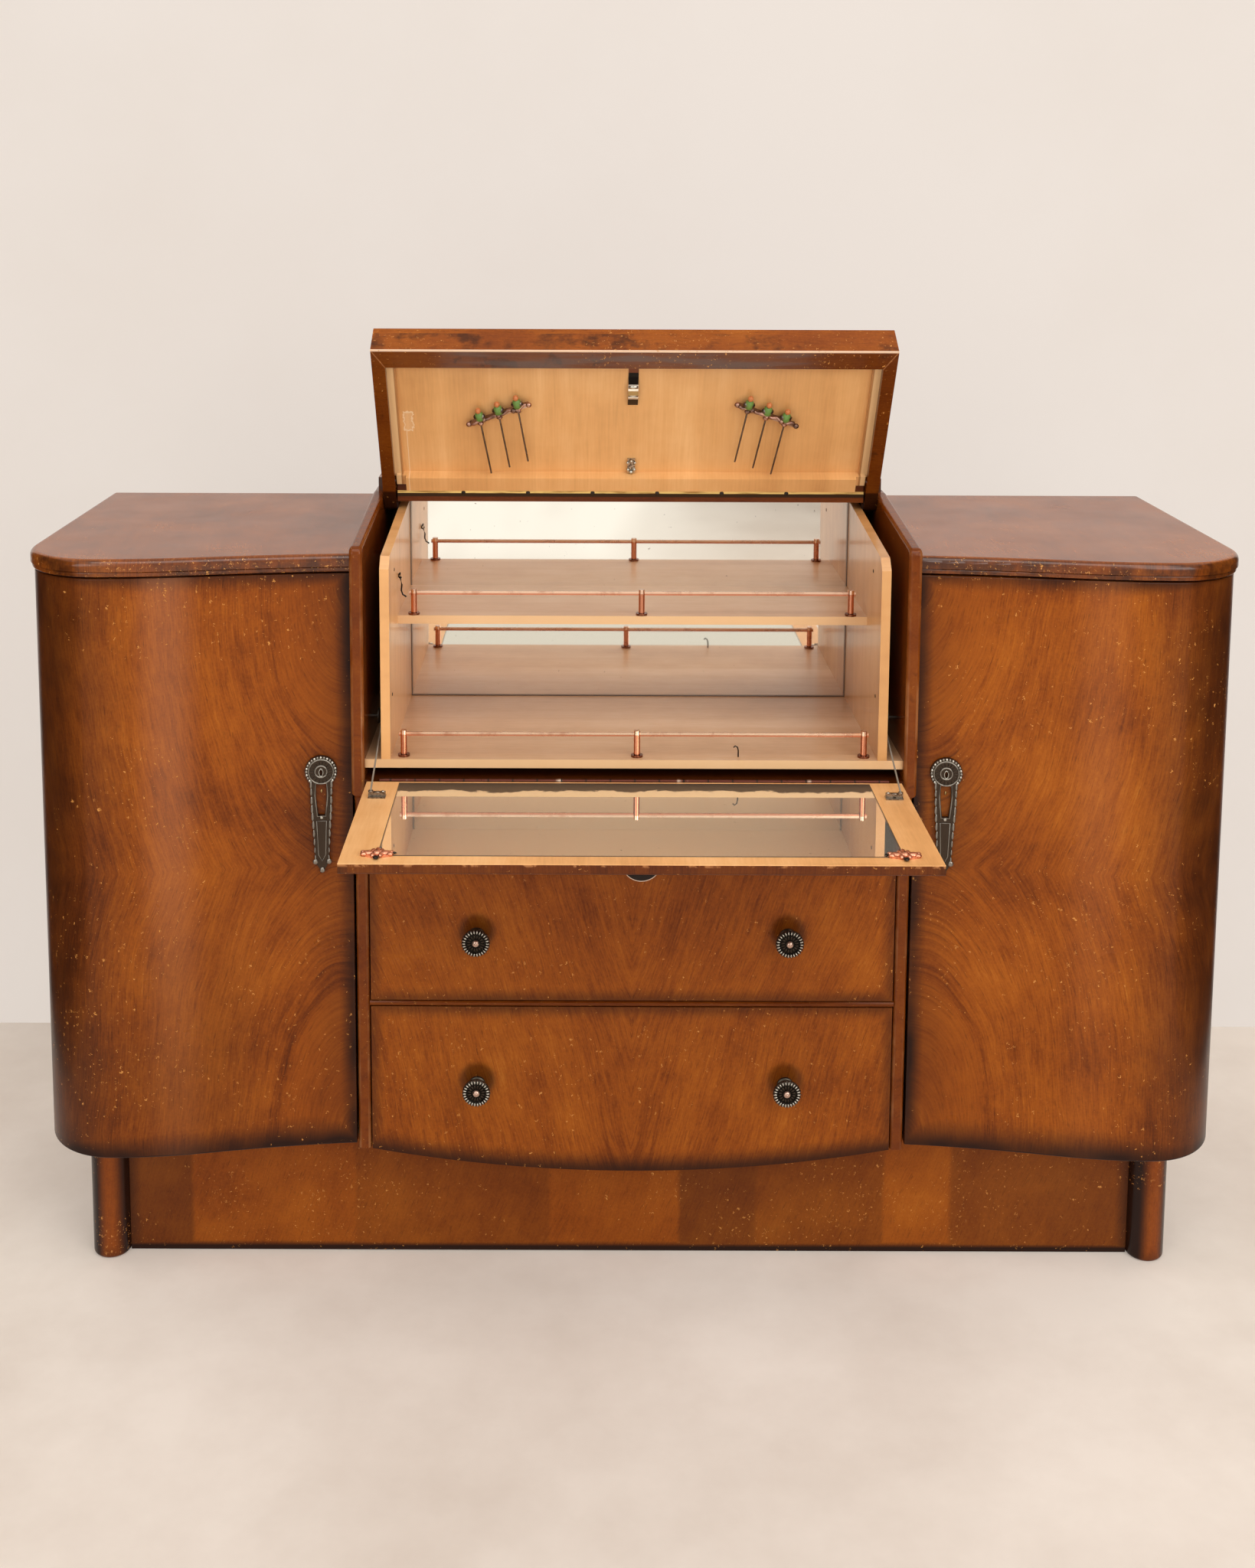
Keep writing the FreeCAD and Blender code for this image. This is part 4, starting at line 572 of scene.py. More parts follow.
def maple(parts, name, tone=(1.0, 1.0, 1.0), along="y", layers=(), coat=0.12, contrast=1.0):
    """Pale lining veneer in soft broad bands, with fine flecks."""
    web = Web(name)
    across = web.x if along == "y" else web.y
    run = {"x": web.x, "y": web.y, "z": web.z}[along]
    broad = web.grain(web.times(across, 6.0), web.times(run, 0.5), 1.0, 1.0)
    bands = web.grain(web.times(across, 30.0), web.times(run, 1.2), web.z)
    fleck = web.grain(web.times(across, 380.0), web.times(run, 30.0), web.z, 2.0)
    cloud = web.noise(11.0, 4.0, 0.6)
    value = web.blend([(broad, 0.40 * contrast), (bands, 0.30 * contrast),
                       (fleck, 0.16 * contrast), (cloud, 0.30)])
    colour = web.ramp(value, [(0.32, (0.56, 0.275, 0.095)), (0.50, (0.75, 0.415, 0.165)),
                              (0.66, (0.86, 0.535, 0.250))])
    colour = web.mix(web.grow(web.noise(7.0), 0.58, 0.80, 0.30), colour, (0.42, 0.19, 0.060))
    colour = web.lay(web.mix(1.0, colour, tone, "MULTIPLY"), layers)
    web.set(colour=colour, rough=0.38, coat=coat, coat_rough=0.16)
    web.bump(fleck, 0.06, 0.0004)
    paint(parts, web.material)


# Painted light: the boards' undersides are painted pale, as if lit from below
def underside_painted_light(web):
    return web.below(web.normal()[2], -0.5)


# Painted light: the boards' front faces are painted warmer and paler, as if lit from the front
def front_face_painted_light(web):
    return web.fade(web.normal()[1], -0.95, -0.60, 0.75)


def lining_side(web):
    """The pale narrow strips at the sides of the lid's lining."""
    return web.grow(web.off, 0.3075, 0.3085, 0.65)


def lining_groove(web):
    """The dark lines beside those strips."""
    return web.times(web.near(web.off, 0.3072, 0.0008, 0.0010), 0.75)


def lining_planks(web):
    """Joints between the sheets of veneer, as faint changes of tone."""
    total = 0.0
    for seam, change in ((-0.245, 0.20), (-0.128, -0.20), (0.090, 0.22), (0.245, -0.22)):
        total = web.plus(web.grow(web.x, seam - 0.001, seam + 0.001, change), total)
    return web.most(total, 0.0)


def tape_mark(web):
    """The torn rest of an old strip at the left of the lining."""
    x, y = lid_axes(web)[:2]
    ragged = web.waver(0.010, 160.0, 3.0)
    dx = web.away(web.plus(x, ragged), 0.2945)
    dy = web.away(web.plus(y, ragged), -0.138)
    outer = web.times(web.fade(dx, 0.0060, 0.0072), web.fade(dy, 0.0160, 0.0175))
    inner = web.times(web.fade(dx, 0.0042, 0.0052), web.fade(dy, 0.0140, 0.0150))
    thread = web.times(web.near(x, 0.2975, 0.0003, 0.0004), web.below(-0.125, y))
    mark = web.most(web.minus(outer, web.times(inner, 0.75)), thread)
    return web.times(web.below(web.x, 0.0), mark, 0.75)


def plain_wood(parts, name, colour, lighter):
    """Unpolished carcase wood with upright grain."""
    web = Web(name)
    grain = web.grain(web.times(web.z, 180.0), web.times(web.x, 4.0), web.times(web.y, 90.0))
    web.set(colour=web.ramp(grain, [(0.35, colour), (0.68, lighter)]), rough=0.62)
    web.bump(grain, 0.1, 0.0005)
    paint(parts, web.material)


def metal(name, colour, rough, dirt, dirt_colour=(0.02, 0.015, 0.01), scale=60.0):
    """Bare metal, dull and dirty in patches."""
    web = Web(name)
    patch = web.noise(scale, 4.0, 0.65)
    web.set(colour=web.mix(web.grow(patch, 0.42, 0.66, dirt), colour, dirt_colour), metal=1.0,
            rough=web.math("MULTIPLY_ADD", patch, 0.22, rough - 0.10))
    web.bump(patch, 0.10, 0.0003)
    return web.material


def aged(name, light, dark, rough):
    """Cast metal whose hollows have gone dark."""
    web = Web(name)
    patch = web.noise(420.0, 3.0, 0.6)
    point = web.add("ShaderNodeNewGeometry").outputs["Pointiness"]
    share = web.most(web.grow(point, 0.47, 0.56), web.grow(patch, 0.52, 0.70, 0.7))
    web.set(colour=web.mix(share, dark, light), metal=0.9, rough=rough)
    web.bump(patch, 0.25, 0.0004)
    return web.material


def mirror(name, tint, edge, dust=0.0):
    """Silvered glass with a few cloudy specks and a dark edge."""
    web = Web(name)
    speck = web.grow(web.noise(130.0, 4.0, 0.7), 0.66, 0.74, 0.5)
    share = web.most(web.times(edge(web), 0.9), speck)
    web.set(colour=web.mix(share, tint, (0.060, 0.036, 0.022)), metal=1.0 - dust,
            rough=web.plus(web.times(share, 0.4), web.times(web.noise(6.0), 0.06)))
    return web.material


def flat(name, colour, rough):
    """Paint with a faint grain."""
    web = Web(name)
    share = web.times(web.noise(300.0, 2.0), 0.25)
    web.set(colour=web.mix(share, colour, tuple(c * 0.6 for c in colour)), rough=rough)
    return web.material


walnut("door_left door_right", "door veneer", door_across, door_along, shade=door_shade, worn=1.0,
       extra=door_figure, lift=0.014, layers=((door_painted_highlight, (0.62, 0.30, 0.18)),))
walnut("upper_drawer_front", "upper drawer veneer", slanted(0.35), up, shade=upper_shade, worn=0.6,
       lift=0.024)
walnut("lower_drawer_front", "lower drawer veneer", slanted(0.25), up, shade=apron_shade, worn=0.8,
       lift=0.028)
walnut("plinth_front plinth_frame", "plinth veneer", slanted(0.35, False), up, shade=plinth_bands_and_shadow,
       worn=1.5, gloss=0.36, lift=0.036, streak=0.35)
walnut("top_left top_right rear_top", "top veneer", slanted(0.0), back, figure=1.8, worn=top_wear,
       gloss=0.24, sheen=0.30, streak=0.55, shade=top_shade, polish=top_polish)
walnut("end_panel_left end_panel_right", "end veneer", back, up, worn=0.8)
walnut("upright_left upright_right", "upright wood", back, up, tone=0.72, red=0.35, worn=1.0,
       gloss=0.20, sheen=0.16, streak=0.8, layers=((upright_corner_highlight, PALE_WEAR_AND_HIGHLIGHT),))
walnut("front_legs", "leg wood", slanted(0.05, False), up, red=0.25, worn=4.0, shade=leg_painted_shade,
       gloss=0.22, streak=0.4, sheen=0.18)
walnut("fall_panel", "fall wood", fall_across, back, shade=fall_shade, red=0.30, worn=1.6,
       sheen=0.16,
       layers=((fall_chips, PALE_WEAR_AND_HIGHLIGHT), (lip_hollow, (0.012, 0.006, 0.004)),
               (lip_rim_highlight, (0.50, 0.36, 0.27))))
walnut("drawer_bead_rail", "bead wood", up, side, tone=0.62, red=0.4, worn=1.5)
# The fall rail is painted very dark: painted shade under the box floor's front edge
walnut("fall_rail", "rail wood", up, side, tone=0.26, red=0.7, sheen=0.10)
walnut("lid_top", "lid veneer", up, side, red=0.08, worn=1.4, gloss=0.22, lift=0.03, streak=0.6,
       sheen=0.12)
walnut("lid_frame lid_arms", "lid rim wood", up, side, red=0.15, worn=1.6, gloss=0.20, lift=0.02,
       streak=0.5, shade=lid_shade,
       layers=((lid_painted_reflection, (0.105, 0.088, 0.082)), (lid_mitres, PALE_WEAR_AND_HIGHLIGHT),
               (lid_edge_wear_and_highlight, (0.85, 0.60, 0.42))))
walnut("lid_rear_rail", "rear rail wood", up, side, tone=0.5, red=0.5)
maple("box_floor box_shelf", "box board", (0.81, 0.86, 1.14), "x", coat=0.25,
      layers=((underside_painted_light, (0.95, 0.78, 0.56)), (front_face_painted_light, (0.80, 0.50, 0.25))))
# The box sides are one maple, painted lighter on the left and darker on the right: painted light
# and shade
maple("box_side_left", "left box side", (1.08, 1.02, 0.97), "z", coat=0.35, contrast=1.3)
maple("box_side_right", "right box side", (0.86, 0.77, 0.68), "z", coat=0.35, contrast=1.3)
maple("box_back", "box back")
maple("lid_lining", "lid lining", (1.06, 1.03, 0.98),
      layers=((lining_planks, (0.66, 0.34, 0.12)), (lining_side, (0.93, 0.66, 0.36)),
              (lining_groove, (0.36, 0.15, 0.045)), (tape_mark, (0.93, 0.72, 0.48))))
maple("fall_lining", "fall lining", (1.16, 1.10, 1.06))
plain_wood("upper_drawer_tray lower_drawer_tray centre_floor cupboard_floors "
           "cupboard_shelves drawer_runners shelf_pegs", "carcase wood", (0.36, 0.20, 0.095),
           (0.52, 0.32, 0.165))
plain_wood("back_boards", "back board", (0.26, 0.15, 0.075), (0.38, 0.235, 0.125))


def rail_metal():
    """Bright flat rods on redder posts, with dark collars, on the shelf and the floor."""
    web = Web("rail copper")
    patch = web.noise(45.0, 3.0, 0.6)
    rods = web.most(*[web.near(web.z, height, 0.0030, 0.0004) for height in (0.8975, 0.7395)])
    collars = web.most(*[web.near(web.z, height, 0.0020, 0.0008) for height in (0.8668, 0.7088)])
    colour = web.mix(rods, (0.62, 0.25, 0.145), (0.86, 0.60, 0.45))
    colour = web.mix(web.grow(patch, 0.48, 0.72, 0.5), colour, (0.40, 0.13, 0.06))
    colour = web.mix(web.times(collars, 0.75), colour, (0.10, 0.035, 0.018))
    web.set(colour=colour, metal=1.0, rough=web.math("MULTIPLY_ADD", patch, 0.2, 0.16))
    return web.material


def strip_metal():
    """A thin bright lip along the top of the strip, with painted shade on the strip below it."""
    web = Web("strip brass")
    patch = web.grain(web.times(web.x, 22.0), 0.0, web.times(web.z, 200.0), 4.0)
    bright = web.mix(web.grow(patch, 0.44, 0.64), (0.86, 0.58, 0.20), (0.40, 0.22, 0.06))
    web.set(colour=web.mix(web.grow(web.z, 1.0050, 1.0058), (0.045, 0.022, 0.010), bright),
            metal=0.9, rough=0.30)
    return web.material


def latch_metal():
    """Bands across the bent spring: plate, a slot painted dark as shade, then its turns with
    painted highlights.
    """
    web = Web("latch metal")
    y = lid_axes(web)[1]
    stops = [(0.0, (0.10, 0.030, 0.014)), (0.16, (0.006, 0.004, 0.003)),
             (0.42, (0.78, 0.74, 0.68)), (0.56, (0.34, 0.22, 0.09)),
             (0.70, (0.80, 0.77, 0.70)), (0.78, (0.06, 0.045, 0.03))]
    bands = web.ramp(web.math("DIVIDE", web.plus(y, 0.232), 0.066), stops, sharp=True)
    patch = web.grow(web.noise(260.0, 3.0, 0.65), 0.40, 0.62)
    worn = web.mix(patch, (0.62, 0.57, 0.50), (0.07, 0.05, 0.035))
    web.set(colour=web.mix(web.below(y, -0.120), worn, bands), metal=0.85, rough=0.30)
    return web.material


def hinge_metal():
    """A dark red barrel with short bright stretches of painted highlight."""
    web = Web("hinge metal")
    run = web.grain(web.times(web.x, 26.0), 0.0, 0.0)
    joints = web.below(web.math("FRACT", web.times(web.x, 33.0)), 0.06)
    colour = web.mix(web.grow(run, 0.60, 0.66), (0.075, 0.018, 0.010), (0.36, 0.26, 0.20))
    web.set(colour=web.mix(joints, colour, (0.012, 0.006, 0.004)), metal=0.8, rough=0.30)
    return web.material


copper = metal("copper", (0.80, 0.36, 0.225), 0.34, 0.55, (0.22, 0.07, 0.03), 240.0)
brass = metal("brass", (0.74, 0.50, 0.20), 0.32, 0.6, (0.10, 0.06, 0.02))
dark_steel = metal("dark steel", (0.050, 0.040, 0.034), 0.42, 0.5, (0.015, 0.012, 0.010))
bracket_metal = metal("bracket metal", (0.34, 0.29, 0.235), 0.32, 0.9, (0.06, 0.042, 0.028), 300.0)
plate_metal = aged("plate metal", (0.055, 0.039, 0.028), (0.012, 0.007, 0.005), 0.34)
relief_metal = aged("relief metal", (0.27, 0.245, 0.21), (0.022, 0.015, 0.010), 0.28)
knob_metal = aged("knob metal", (0.060, 0.050, 0.038), (0.010, 0.008, 0.006), 0.34)
bright_metal = aged("bright metal", (0.52, 0.50, 0.44), (0.060, 0.050, 0.040), 0.26)
boss_metal = aged("boss metal", (0.62, 0.42, 0.33), (0.12, 0.07, 0.045), 0.28)
cord_cover = flat("cord", (0.27, 0.225, 0.175), 0.75)
paint("gallery_rails", rail_metal())
paint("mirror_clips", copper)
paint("brass_strip", strip_metal())
paint("door_hinge_leaves_carcase door_hinge_leaves_left door_hinge_leaves_right", brass)
paint("fall_hinge_leaf_carcase fall_hinge_leaf_fall", hinge_metal())
paint("lid_latch", latch_metal())
paint("cord_brackets", bracket_metal)
paint("pulley_left pulley_right pivot_pins", dark_steel)
paint("fall_cords lid_cords", cord_cover)
paint("door_pull_and_lock_left door_pull_and_lock_right", plate_metal)
paint("upper_drawer_knobs lower_drawer_knobs", knob_metal)
paint("pick_racks", metal("rack metal", (0.50, 0.34, 0.27), 0.35, 0.7))
paint("cocktail_picks", metal("pick metal", (0.20, 0.17, 0.15), 0.30, 0.4))


def back_edge(web):
    """A dark line where the glass meets the box floor, and one down each side."""
    return web.most(web.grow(web.off, 0.3000, 0.3035), web.fade(web.z, 0.7085, 0.7115))


def fall_edge(web):
    """A dark line at the front and sides, and the silver gone brown along the rear."""
    ragged = web.plus(web.y, web.waver(0.040, 26.0, 4.0, 0.68))
    return web.most(web.grow(ragged, -0.1330, -0.1270, 0.95), web.fade(web.y, -0.3395, -0.3365),
                    web.grow(web.off, 0.2885, 0.291))


paint("box_back_mirror", mirror("back mirror", (0.90, 0.875, 0.82), back_edge))
paint("fall_mirror", mirror("fall mirror", (0.97, 0.94, 0.82), fall_edge, 0.14))


def put(name, data):
    item = bpy.data.objects.new(name, data)
    bpy.context.scene.collection.objects.link(item)
    return item


# Small fittings
def fitting(name, made, material, body):
    mesh = bpy.data.meshes.new(name)
    made.to_mesh(mesh)
    made.free()
    mesh.materials.append(material)
    for face in mesh.polygons:
        face.use_smooth = True
    item = put(name, mesh)
    if body is not None:
        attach(item, body)
    return item


def balls(name, places, material, body, segments=10):
    """Round or stretched beads. Each is a centre and three radii, and may have a turn."""
    made = bmesh.new()
    for centre, radii, *turn in places:
        matrix = Matrix.Diagonal((*radii, 1.0))
        for part in (*turn, Matrix.Translation(centre)):
            matrix = part @ matrix
        bmesh.ops.create_uvsphere(made, u_segments=segments, v_segments=max(5, segments // 2 + 1),
                                  radius=1.0, matrix=matrix)
    return fitting(name, made, material, body)


def tubes(name, paths, material, body, sides=10):
    """Round wire along points, joined into one mesh. Each path is (points, radius, closed)."""
    made = bmesh.new()
    for points, radius, closed in paths:
        points = [Vector(p) for p in points]
        count = len(points)
        rings = []
        for number, point in enumerate(points):
            before = points[number - 1] if closed or number else point
            after = points[(number + 1) % count] if closed or number < count - 1 else point
            along = (after - before).normalized()
            first = along.cross(Z if abs(along.z) < 0.9 else Y).normalized()
            second = along.cross(first)
            rings.append([made.verts.new(place)
                          for place in ring_points(point, radius, first, second, sides)])
        pairs = list(zip(rings, rings[1:]))
        if closed:
            pairs.append((rings[-1], rings[0]))
        for a, b in pairs:
            for step in range(sides):
                after = (step + 1) % sides
                made.faces.new((a[step], a[after], b[after], b[step]))
        if not closed:
            made.faces.new(rings[0])
            made.faces.new(list(reversed(rings[-1])))
    bmesh.ops.recalc_face_normals(made, faces=made.faces)
    return fitting(name, made, material, body)


def ring_points(centre, radius, first, second, count):
    angles = [2 * math.pi * n / count for n in range(count)]
    return [centre + first * (radius * math.cos(a)) + second * (radius * math.sin(a))
            for a in angles]


def fan(count, first, second, axis, start=0.0):
    """Directions all round, each with the turn that points a piece's x along it."""
    for number in range(count):
        angle = 2 * math.pi * (number + start) / count
        yield (first * math.cos(angle) + second * math.sin(angle),
               Matrix.Rotation(-angle, 4, axis))


def outline(middle, right, half):
    """A closed outline from its right half, which is given from the top down."""
    left = [(-wide, drop) for wide, drop in reversed(half) if wide]
    return [middle + right * wide + Z * drop for wide, drop in (*half, *left)]


# The drawers' knobs: a ring of beads, a star of petals and a boss
for name, height in (("upper", UPPER_KNOB), ("lower", LOWER_KNOB)):
    body = name + "_drawer"
    beads = []
    petals = []
    bosses = []
    for sign in (-1, 1):
        middle = Vector((KNOB_X * sign, FRONT - 0.0240, height))
        for spoke, spin in fan(26, X, Z, "Y"):
            beads.append((middle + spoke * 0.0149, (0.0026, 0.0017, 0.00110), spin))
            petals.append((middle + spoke * 0.0171 + Y * 0.0010, (0.0011, 0.0012, 0.0013), spin))
        for spoke, spin in fan(16, X, Z, "Y", 0.5):
            petals.append((middle + spoke * 0.0088 + Y * 0.0012, (0.0026, 0.0012, 0.0011), spin))
        bosses.append((middle + Y * 0.0004, (0.0047, 0.0034, 0.0047)))
        bosses.append((middle - Y * 0.0026, (0.0016, 0.0010, 0.0016)))
    balls(name + "_knob_beads", beads, bright_metal, body)
    balls(name + "_knob_petals", petals, plate_metal, body)
    balls(name + "_knob_bosses", bosses, boss_metal, body, 16)

# The door pulls' relief. Half widths and heights from the middle of the round head.
PULL_BORDER = ((0.0128, -0.0165), (0.0125, -0.026), (0.0122, -0.037), (0.0118, -0.048),
               (0.0112, -0.058), (0.0104, -0.069), (0.0098, -0.080), (0.0093, -0.091),
               (0.0088, -0.102), (0.0084, -0.112))
PULL_SLOT = ((0.0072, -0.0150), (0.0076, -0.030), (0.0070, -0.044), (0.0050, -0.0575))
PULL_TAIL = ((0.0060, -0.064), (0.0046, -0.108), (0.0, -0.116))
for sign, name in ((-1, "left"), (1, "right")):
    body = name + "_door"
    turn = Matrix.Rotation(-PULL_LEAN * sign, 4, "Z")
    right = turn @ X
    inward = turn @ Y
    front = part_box("door_pull_and_lock_" + name)[0].y
    base = Vector((PULL_X * sign, front + 0.0050 + 0.0202 * math.sin(PULL_LEAN), PULL_Z))
    face = base - inward * 0.0052
    beads = []
    studs = []
    for number, point in enumerate(ring_points(face, 0.0182, right, Z, 28)):
        if point.z > base.z - 0.0135:
            row = studs if number % 2 else beads
            row.append((point, (0.0018, 0.0015, 0.0018)))
    for reach, drop in PULL_BORDER:
        swell = 1.0 + 0.35 * math.sin(drop * 620.0)
        for way in (-1, 1):
            beads.append((face + right * (reach * way) + Z * drop,
                          (0.0014 * swell, 0.0013, 0.0042 * swell)))
    for way, drop in ((-1, -0.117), (1, -0.117), (0, -0.128)):
        beads.append((face + right * (0.0085 * way) + Z * drop, (0.0036, 0.0016, 0.0036)))
    spokes = [(face + spoke * 0.0118, (0.0034, 0.0009, 0.0007), spin @ turn)
              for spoke, spin in fan(18, right, Z, inward)]
    wires = [(ring_points(face, 0.0155, right, Z, 40), 0.0010, True),
             (ring_points(face, 0.0074, right, Z, 32), 0.0011, True),
             (outline(face, right, PULL_SLOT), 0.0011, True),
             (outline(face, right, PULL_TAIL), 0.0008, True)]
    eye = []
    for number in range(16):
        angle = 2 * math.pi * number / 16
        wide = 0.0026 * math.sin(angle) * (0.6 + 0.4 * abs(math.sin(angle)))
        eye.append(face + right * wide + Z * (0.0050 * math.cos(angle) - 0.0012))
    balls("pull_studs_" + name, studs, bright_metal, body)
    balls("pull_spokes_" + name, spokes, plate_metal, body)
    balls("pull_beads_" + name, beads, relief_metal, body)
    tubes("pull_eye_" + name, [(eye, 0.0006, True)], bright_metal, body, 6)
    tubes("pull_edges_" + name, wires, relief_metal, body, 8)
    balls("pull_ring_" + name, [(face + Z * -0.0592, (0.0024, 0.0012, 0.0024))],
          bright_metal, body)
    balls("pull_screw_" + name,
          [(face + inward * 0.0048 + Z * -0.0266, (0.0014, 0.0009, 0.0024))], brass, body)

# Birds on the picks, and their racks' twigs, placed on the level lid and tilted with it
lid_turn = Matrix.Translation(LID_PIVOT) @ Matrix.Rotation(-LID_TILT, 4, "X")
RACK_X, RACK_Y, RACK_Z = 0.175, -0.156, -0.0072
birds = []
heads = []
twigs = []
rods = []
for sign in (-1, 1):
    slant = math.radians(23.5) * sign
    lean = math.radians(7.5) * sign
    middle = Vector((RACK_X * sign, RACK_Y, RACK_Z))
    row = Vector((math.cos(slant), math.sin(slant), 0.0))
    way = Vector((-math.sin(lean), math.cos(lean), 0.0))
    turn = lid_turn.to_3x3().to_4x4() @ Matrix.Rotation(lean, 4, "Z")
    for share in (-1, 0, 1):
        head = middle + row * (0.027 * share) - Y * 0.004
        birds.append((lid_turn @ (head - way * 0.004), (0.0062, 0.0085, 0.0056), turn))
        heads.append((lid_turn @ (head - way * 0.0145 - Z * 0.001), (0.0038, 0.0042, 0.0038),
                      turn))
        twigs.append((lid_turn @ (head + way * 0.008), (0.0042, 0.0032, 0.0032)))
    line = []
    for step in range(13):
        knobbly = Vector((0.0, 0.0022 * math.sin(step * 2.1), 0.0015 * math.cos(step * 1.7)))
        line.append(lid_turn @ (middle + row * (0.043 * (step - 6) / 6) + knobbly))
        if step % 3 == 0:
            twigs.append((line[-1], (0.0040, 0.0036, 0.0036)))
    rods.append((line, 0.0022, False))
rack_metal = metal("twig metal", (0.45, 0.26, 0.20), 0.38, 0.7)
balls("bird_bodies", birds, flat("bird green", (0.14, 0.27, 0.055), 0.45), "lid", 14)
balls("bird_heads", heads, flat("bird orange", (0.62, 0.20, 0.06), 0.45), "lid", 12)
balls("twig_knots", twigs, rack_metal, "lid")
tubes("twigs", rods, rack_metal, "lid", 8)

# The spring's two turns and the catch's ears on the lid
turns = [([lid_turn @ Vector((x, y, -0.0030)) for x in (-0.0062, 0.0, 0.0062)], radius, False)
         for y, radius in ((-0.2005, 0.0030), (-0.1860, 0.0024))]
tubes("latch_turns", turns, bright_metal, "lid", 12)
ears = [(lid_turn @ Vector((x, y, -0.0028)), (wide, wide * 1.2, wide * 0.8))
        for x, y, wide in ((-0.0048, -0.070, 0.0022), (0.0048, -0.070, 0.0022),
                           (-0.0042, -0.058, 0.0026), (0.0042, -0.058, 0.0026),
                           (0.0, -0.054, 0.0034), (0.0, -0.073, 0.0026))]
balls("catch_ears", ears, bright_metal, "lid", 12)

# Leaf-shaped clips at the mirror's front corners. Each leaf is x, y and three sizes, in
# millimetres, and those that aren't in the middle stand on both sides of it.
LEAVES = ((0.0, 0.0, 5.2, 4.6, 3.0), (9.5, 0.5, 6.4, 4.0, 2.2), (14.5, -2.8, 3.6, 2.8, 1.9),
          (15.5, 3.0, 3.0, 2.4, 1.7), (4.6, 6.4, 2.8, 4.4, 1.9), (0.0, 9.5, 2.4, 5.6, 1.7),
          (4.4, -5.6, 2.8, 3.8, 1.9))
leaves = []
tabs = []
for sign in (-1, 1):
    base = Vector((0.2910 * sign, -0.3375, 0.6862))
    for x, y, wide, deep, tall in LEAVES:
        for way in (-1, 1) if x else (1,):
            leaves.append((base + Vector((x * way, y, 0.0)) / 1000,
                           (wide / 900, deep / 850, tall / 800)))
    for x, y, wide, deep, tall in ((0.0, -12.0, 3.4, 4.6, 1.5), (-19.0 * sign, 0.6, 2.6, 1.7, 1.3),
                                   (0.0, 0.0, 1.8, 1.8, 4.2)):
        tabs.append((base + Vector((x, y, 0.0)) / 1000,
                     (wide / 1000, deep / 1000, tall / 1000)))
balls("clip_leaves", leaves, copper, "fall", 14)
balls("clip_tabs", tabs, dark_steel, "fall", 12)

# Screws and wire loops on the cord brackets
screws = []
loops = []
for sign in (-1, 1):
    base = Vector((0.3125 * sign, -0.1525, 0.6912))
    for way in (-1, 1):
        screws.append((base + X * (0.0074 * way), (0.0022, 0.0022, 0.0010)))
    loops.append((ring_points(base + Vector((0.0075 * sign, 0.0, 0.0004)), 0.0026, X, Y, 16),
                  0.0007, True))
    loops.append(([base + Vector((x, -0.0045, 0.0)) for x in (-0.004, 0.004)], 0.0009, False))
balls("bracket_screws", screws, bright_metal, "fall", 12)
tubes("bracket_loops", loops, bracket_metal, "fall", 8)

# Screws in the brass strip, holes in the box sides as dark spots of painted shade, and small wire
# hooks
balls("strip_screws", [(Vector((-0.226 + 0.0873 * number, 0.1394, 1.0062)),
                        (0.0030, 0.0010, 0.0026)) for number in range(6)],
      dark_steel, "cabinet")
balls("peg_holes", [(Vector((0.3034 * sign, y, z)), (0.0006, 0.0024, 0.0024))
                    for sign in (-1, 1) for y, z in ((-0.056, 0.783), (-0.020, 0.935))],
      flat("hole shade dark", (0.008, 0.006, 0.005), 0.8), "cabinet")
tubes("wire_hooks", [
    ([(-0.3033, 0.030, 0.915), (-0.3005, 0.027, 0.913), (-0.2985, 0.024, 0.905),
      (-0.2990, 0.022, 0.898), (-0.2970, 0.021, 0.893), (-0.2925, 0.0215, 0.890)], 0.0011, False),
    ([(-0.3033, 0.030, 0.916), (-0.3010, 0.026, 0.920), (-0.2995, 0.024, 0.914)], 0.0013, False),
    ([(0.1310, -0.0700, 0.7080), (0.1310, -0.0700, 0.7160), (0.1300, -0.0705, 0.7205),
      (0.1270, -0.0710, 0.7225), (0.1250, -0.0712, 0.7205)], 0.0009, False)],
    dark_steel, "cabinet", 8)


# The lifting cords, each a straight tube between two places
def lifting_cords(name, near_end, far_end, node):
    """Both sides' cords from the cabinet to a body, between two places given as y and z."""
    def along(share, x=0.0):
        return (x, *[a + (b - a) * share for a, b in zip(near_end, far_end)])

    cords = [([along(n / 28, 0.320 * sign) for n in range(29)], 0.0011, False)
             for sign in (-1, 1)]
    piece = tubes(name, cords, cord_cover, None, 12)
    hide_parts(node)
    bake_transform(piece)


lifting_cords("lifting_cords_low", (-0.0263, 0.7403), (-0.1525, 0.6921), "fall_cords")
lifting_cords("lifting_cords_high", (-0.0258, 0.7408), (0.1502, 0.9197), "lid_cords")


# Floor, wall, light and camera
def plain(name, width, depth, matrix, material, unseen_by=()):
    """A flat sheet of the stage, and the kinds of ray that pass it by."""
    mesh = bpy.data.meshes.new(name)
    half, deep = width / 2, depth / 2
    mesh.from_pydata([(-half, -deep, 0), (half, -deep, 0), (half, deep, 0), (-half, deep, 0)],
                     [], [(0, 1, 2, 3)])
    mesh.materials.append(material)
    item = put(name, mesh)
    item.matrix_world = matrix
    for ray in unseen_by:
        setattr(item, "visible_" + ray, False)


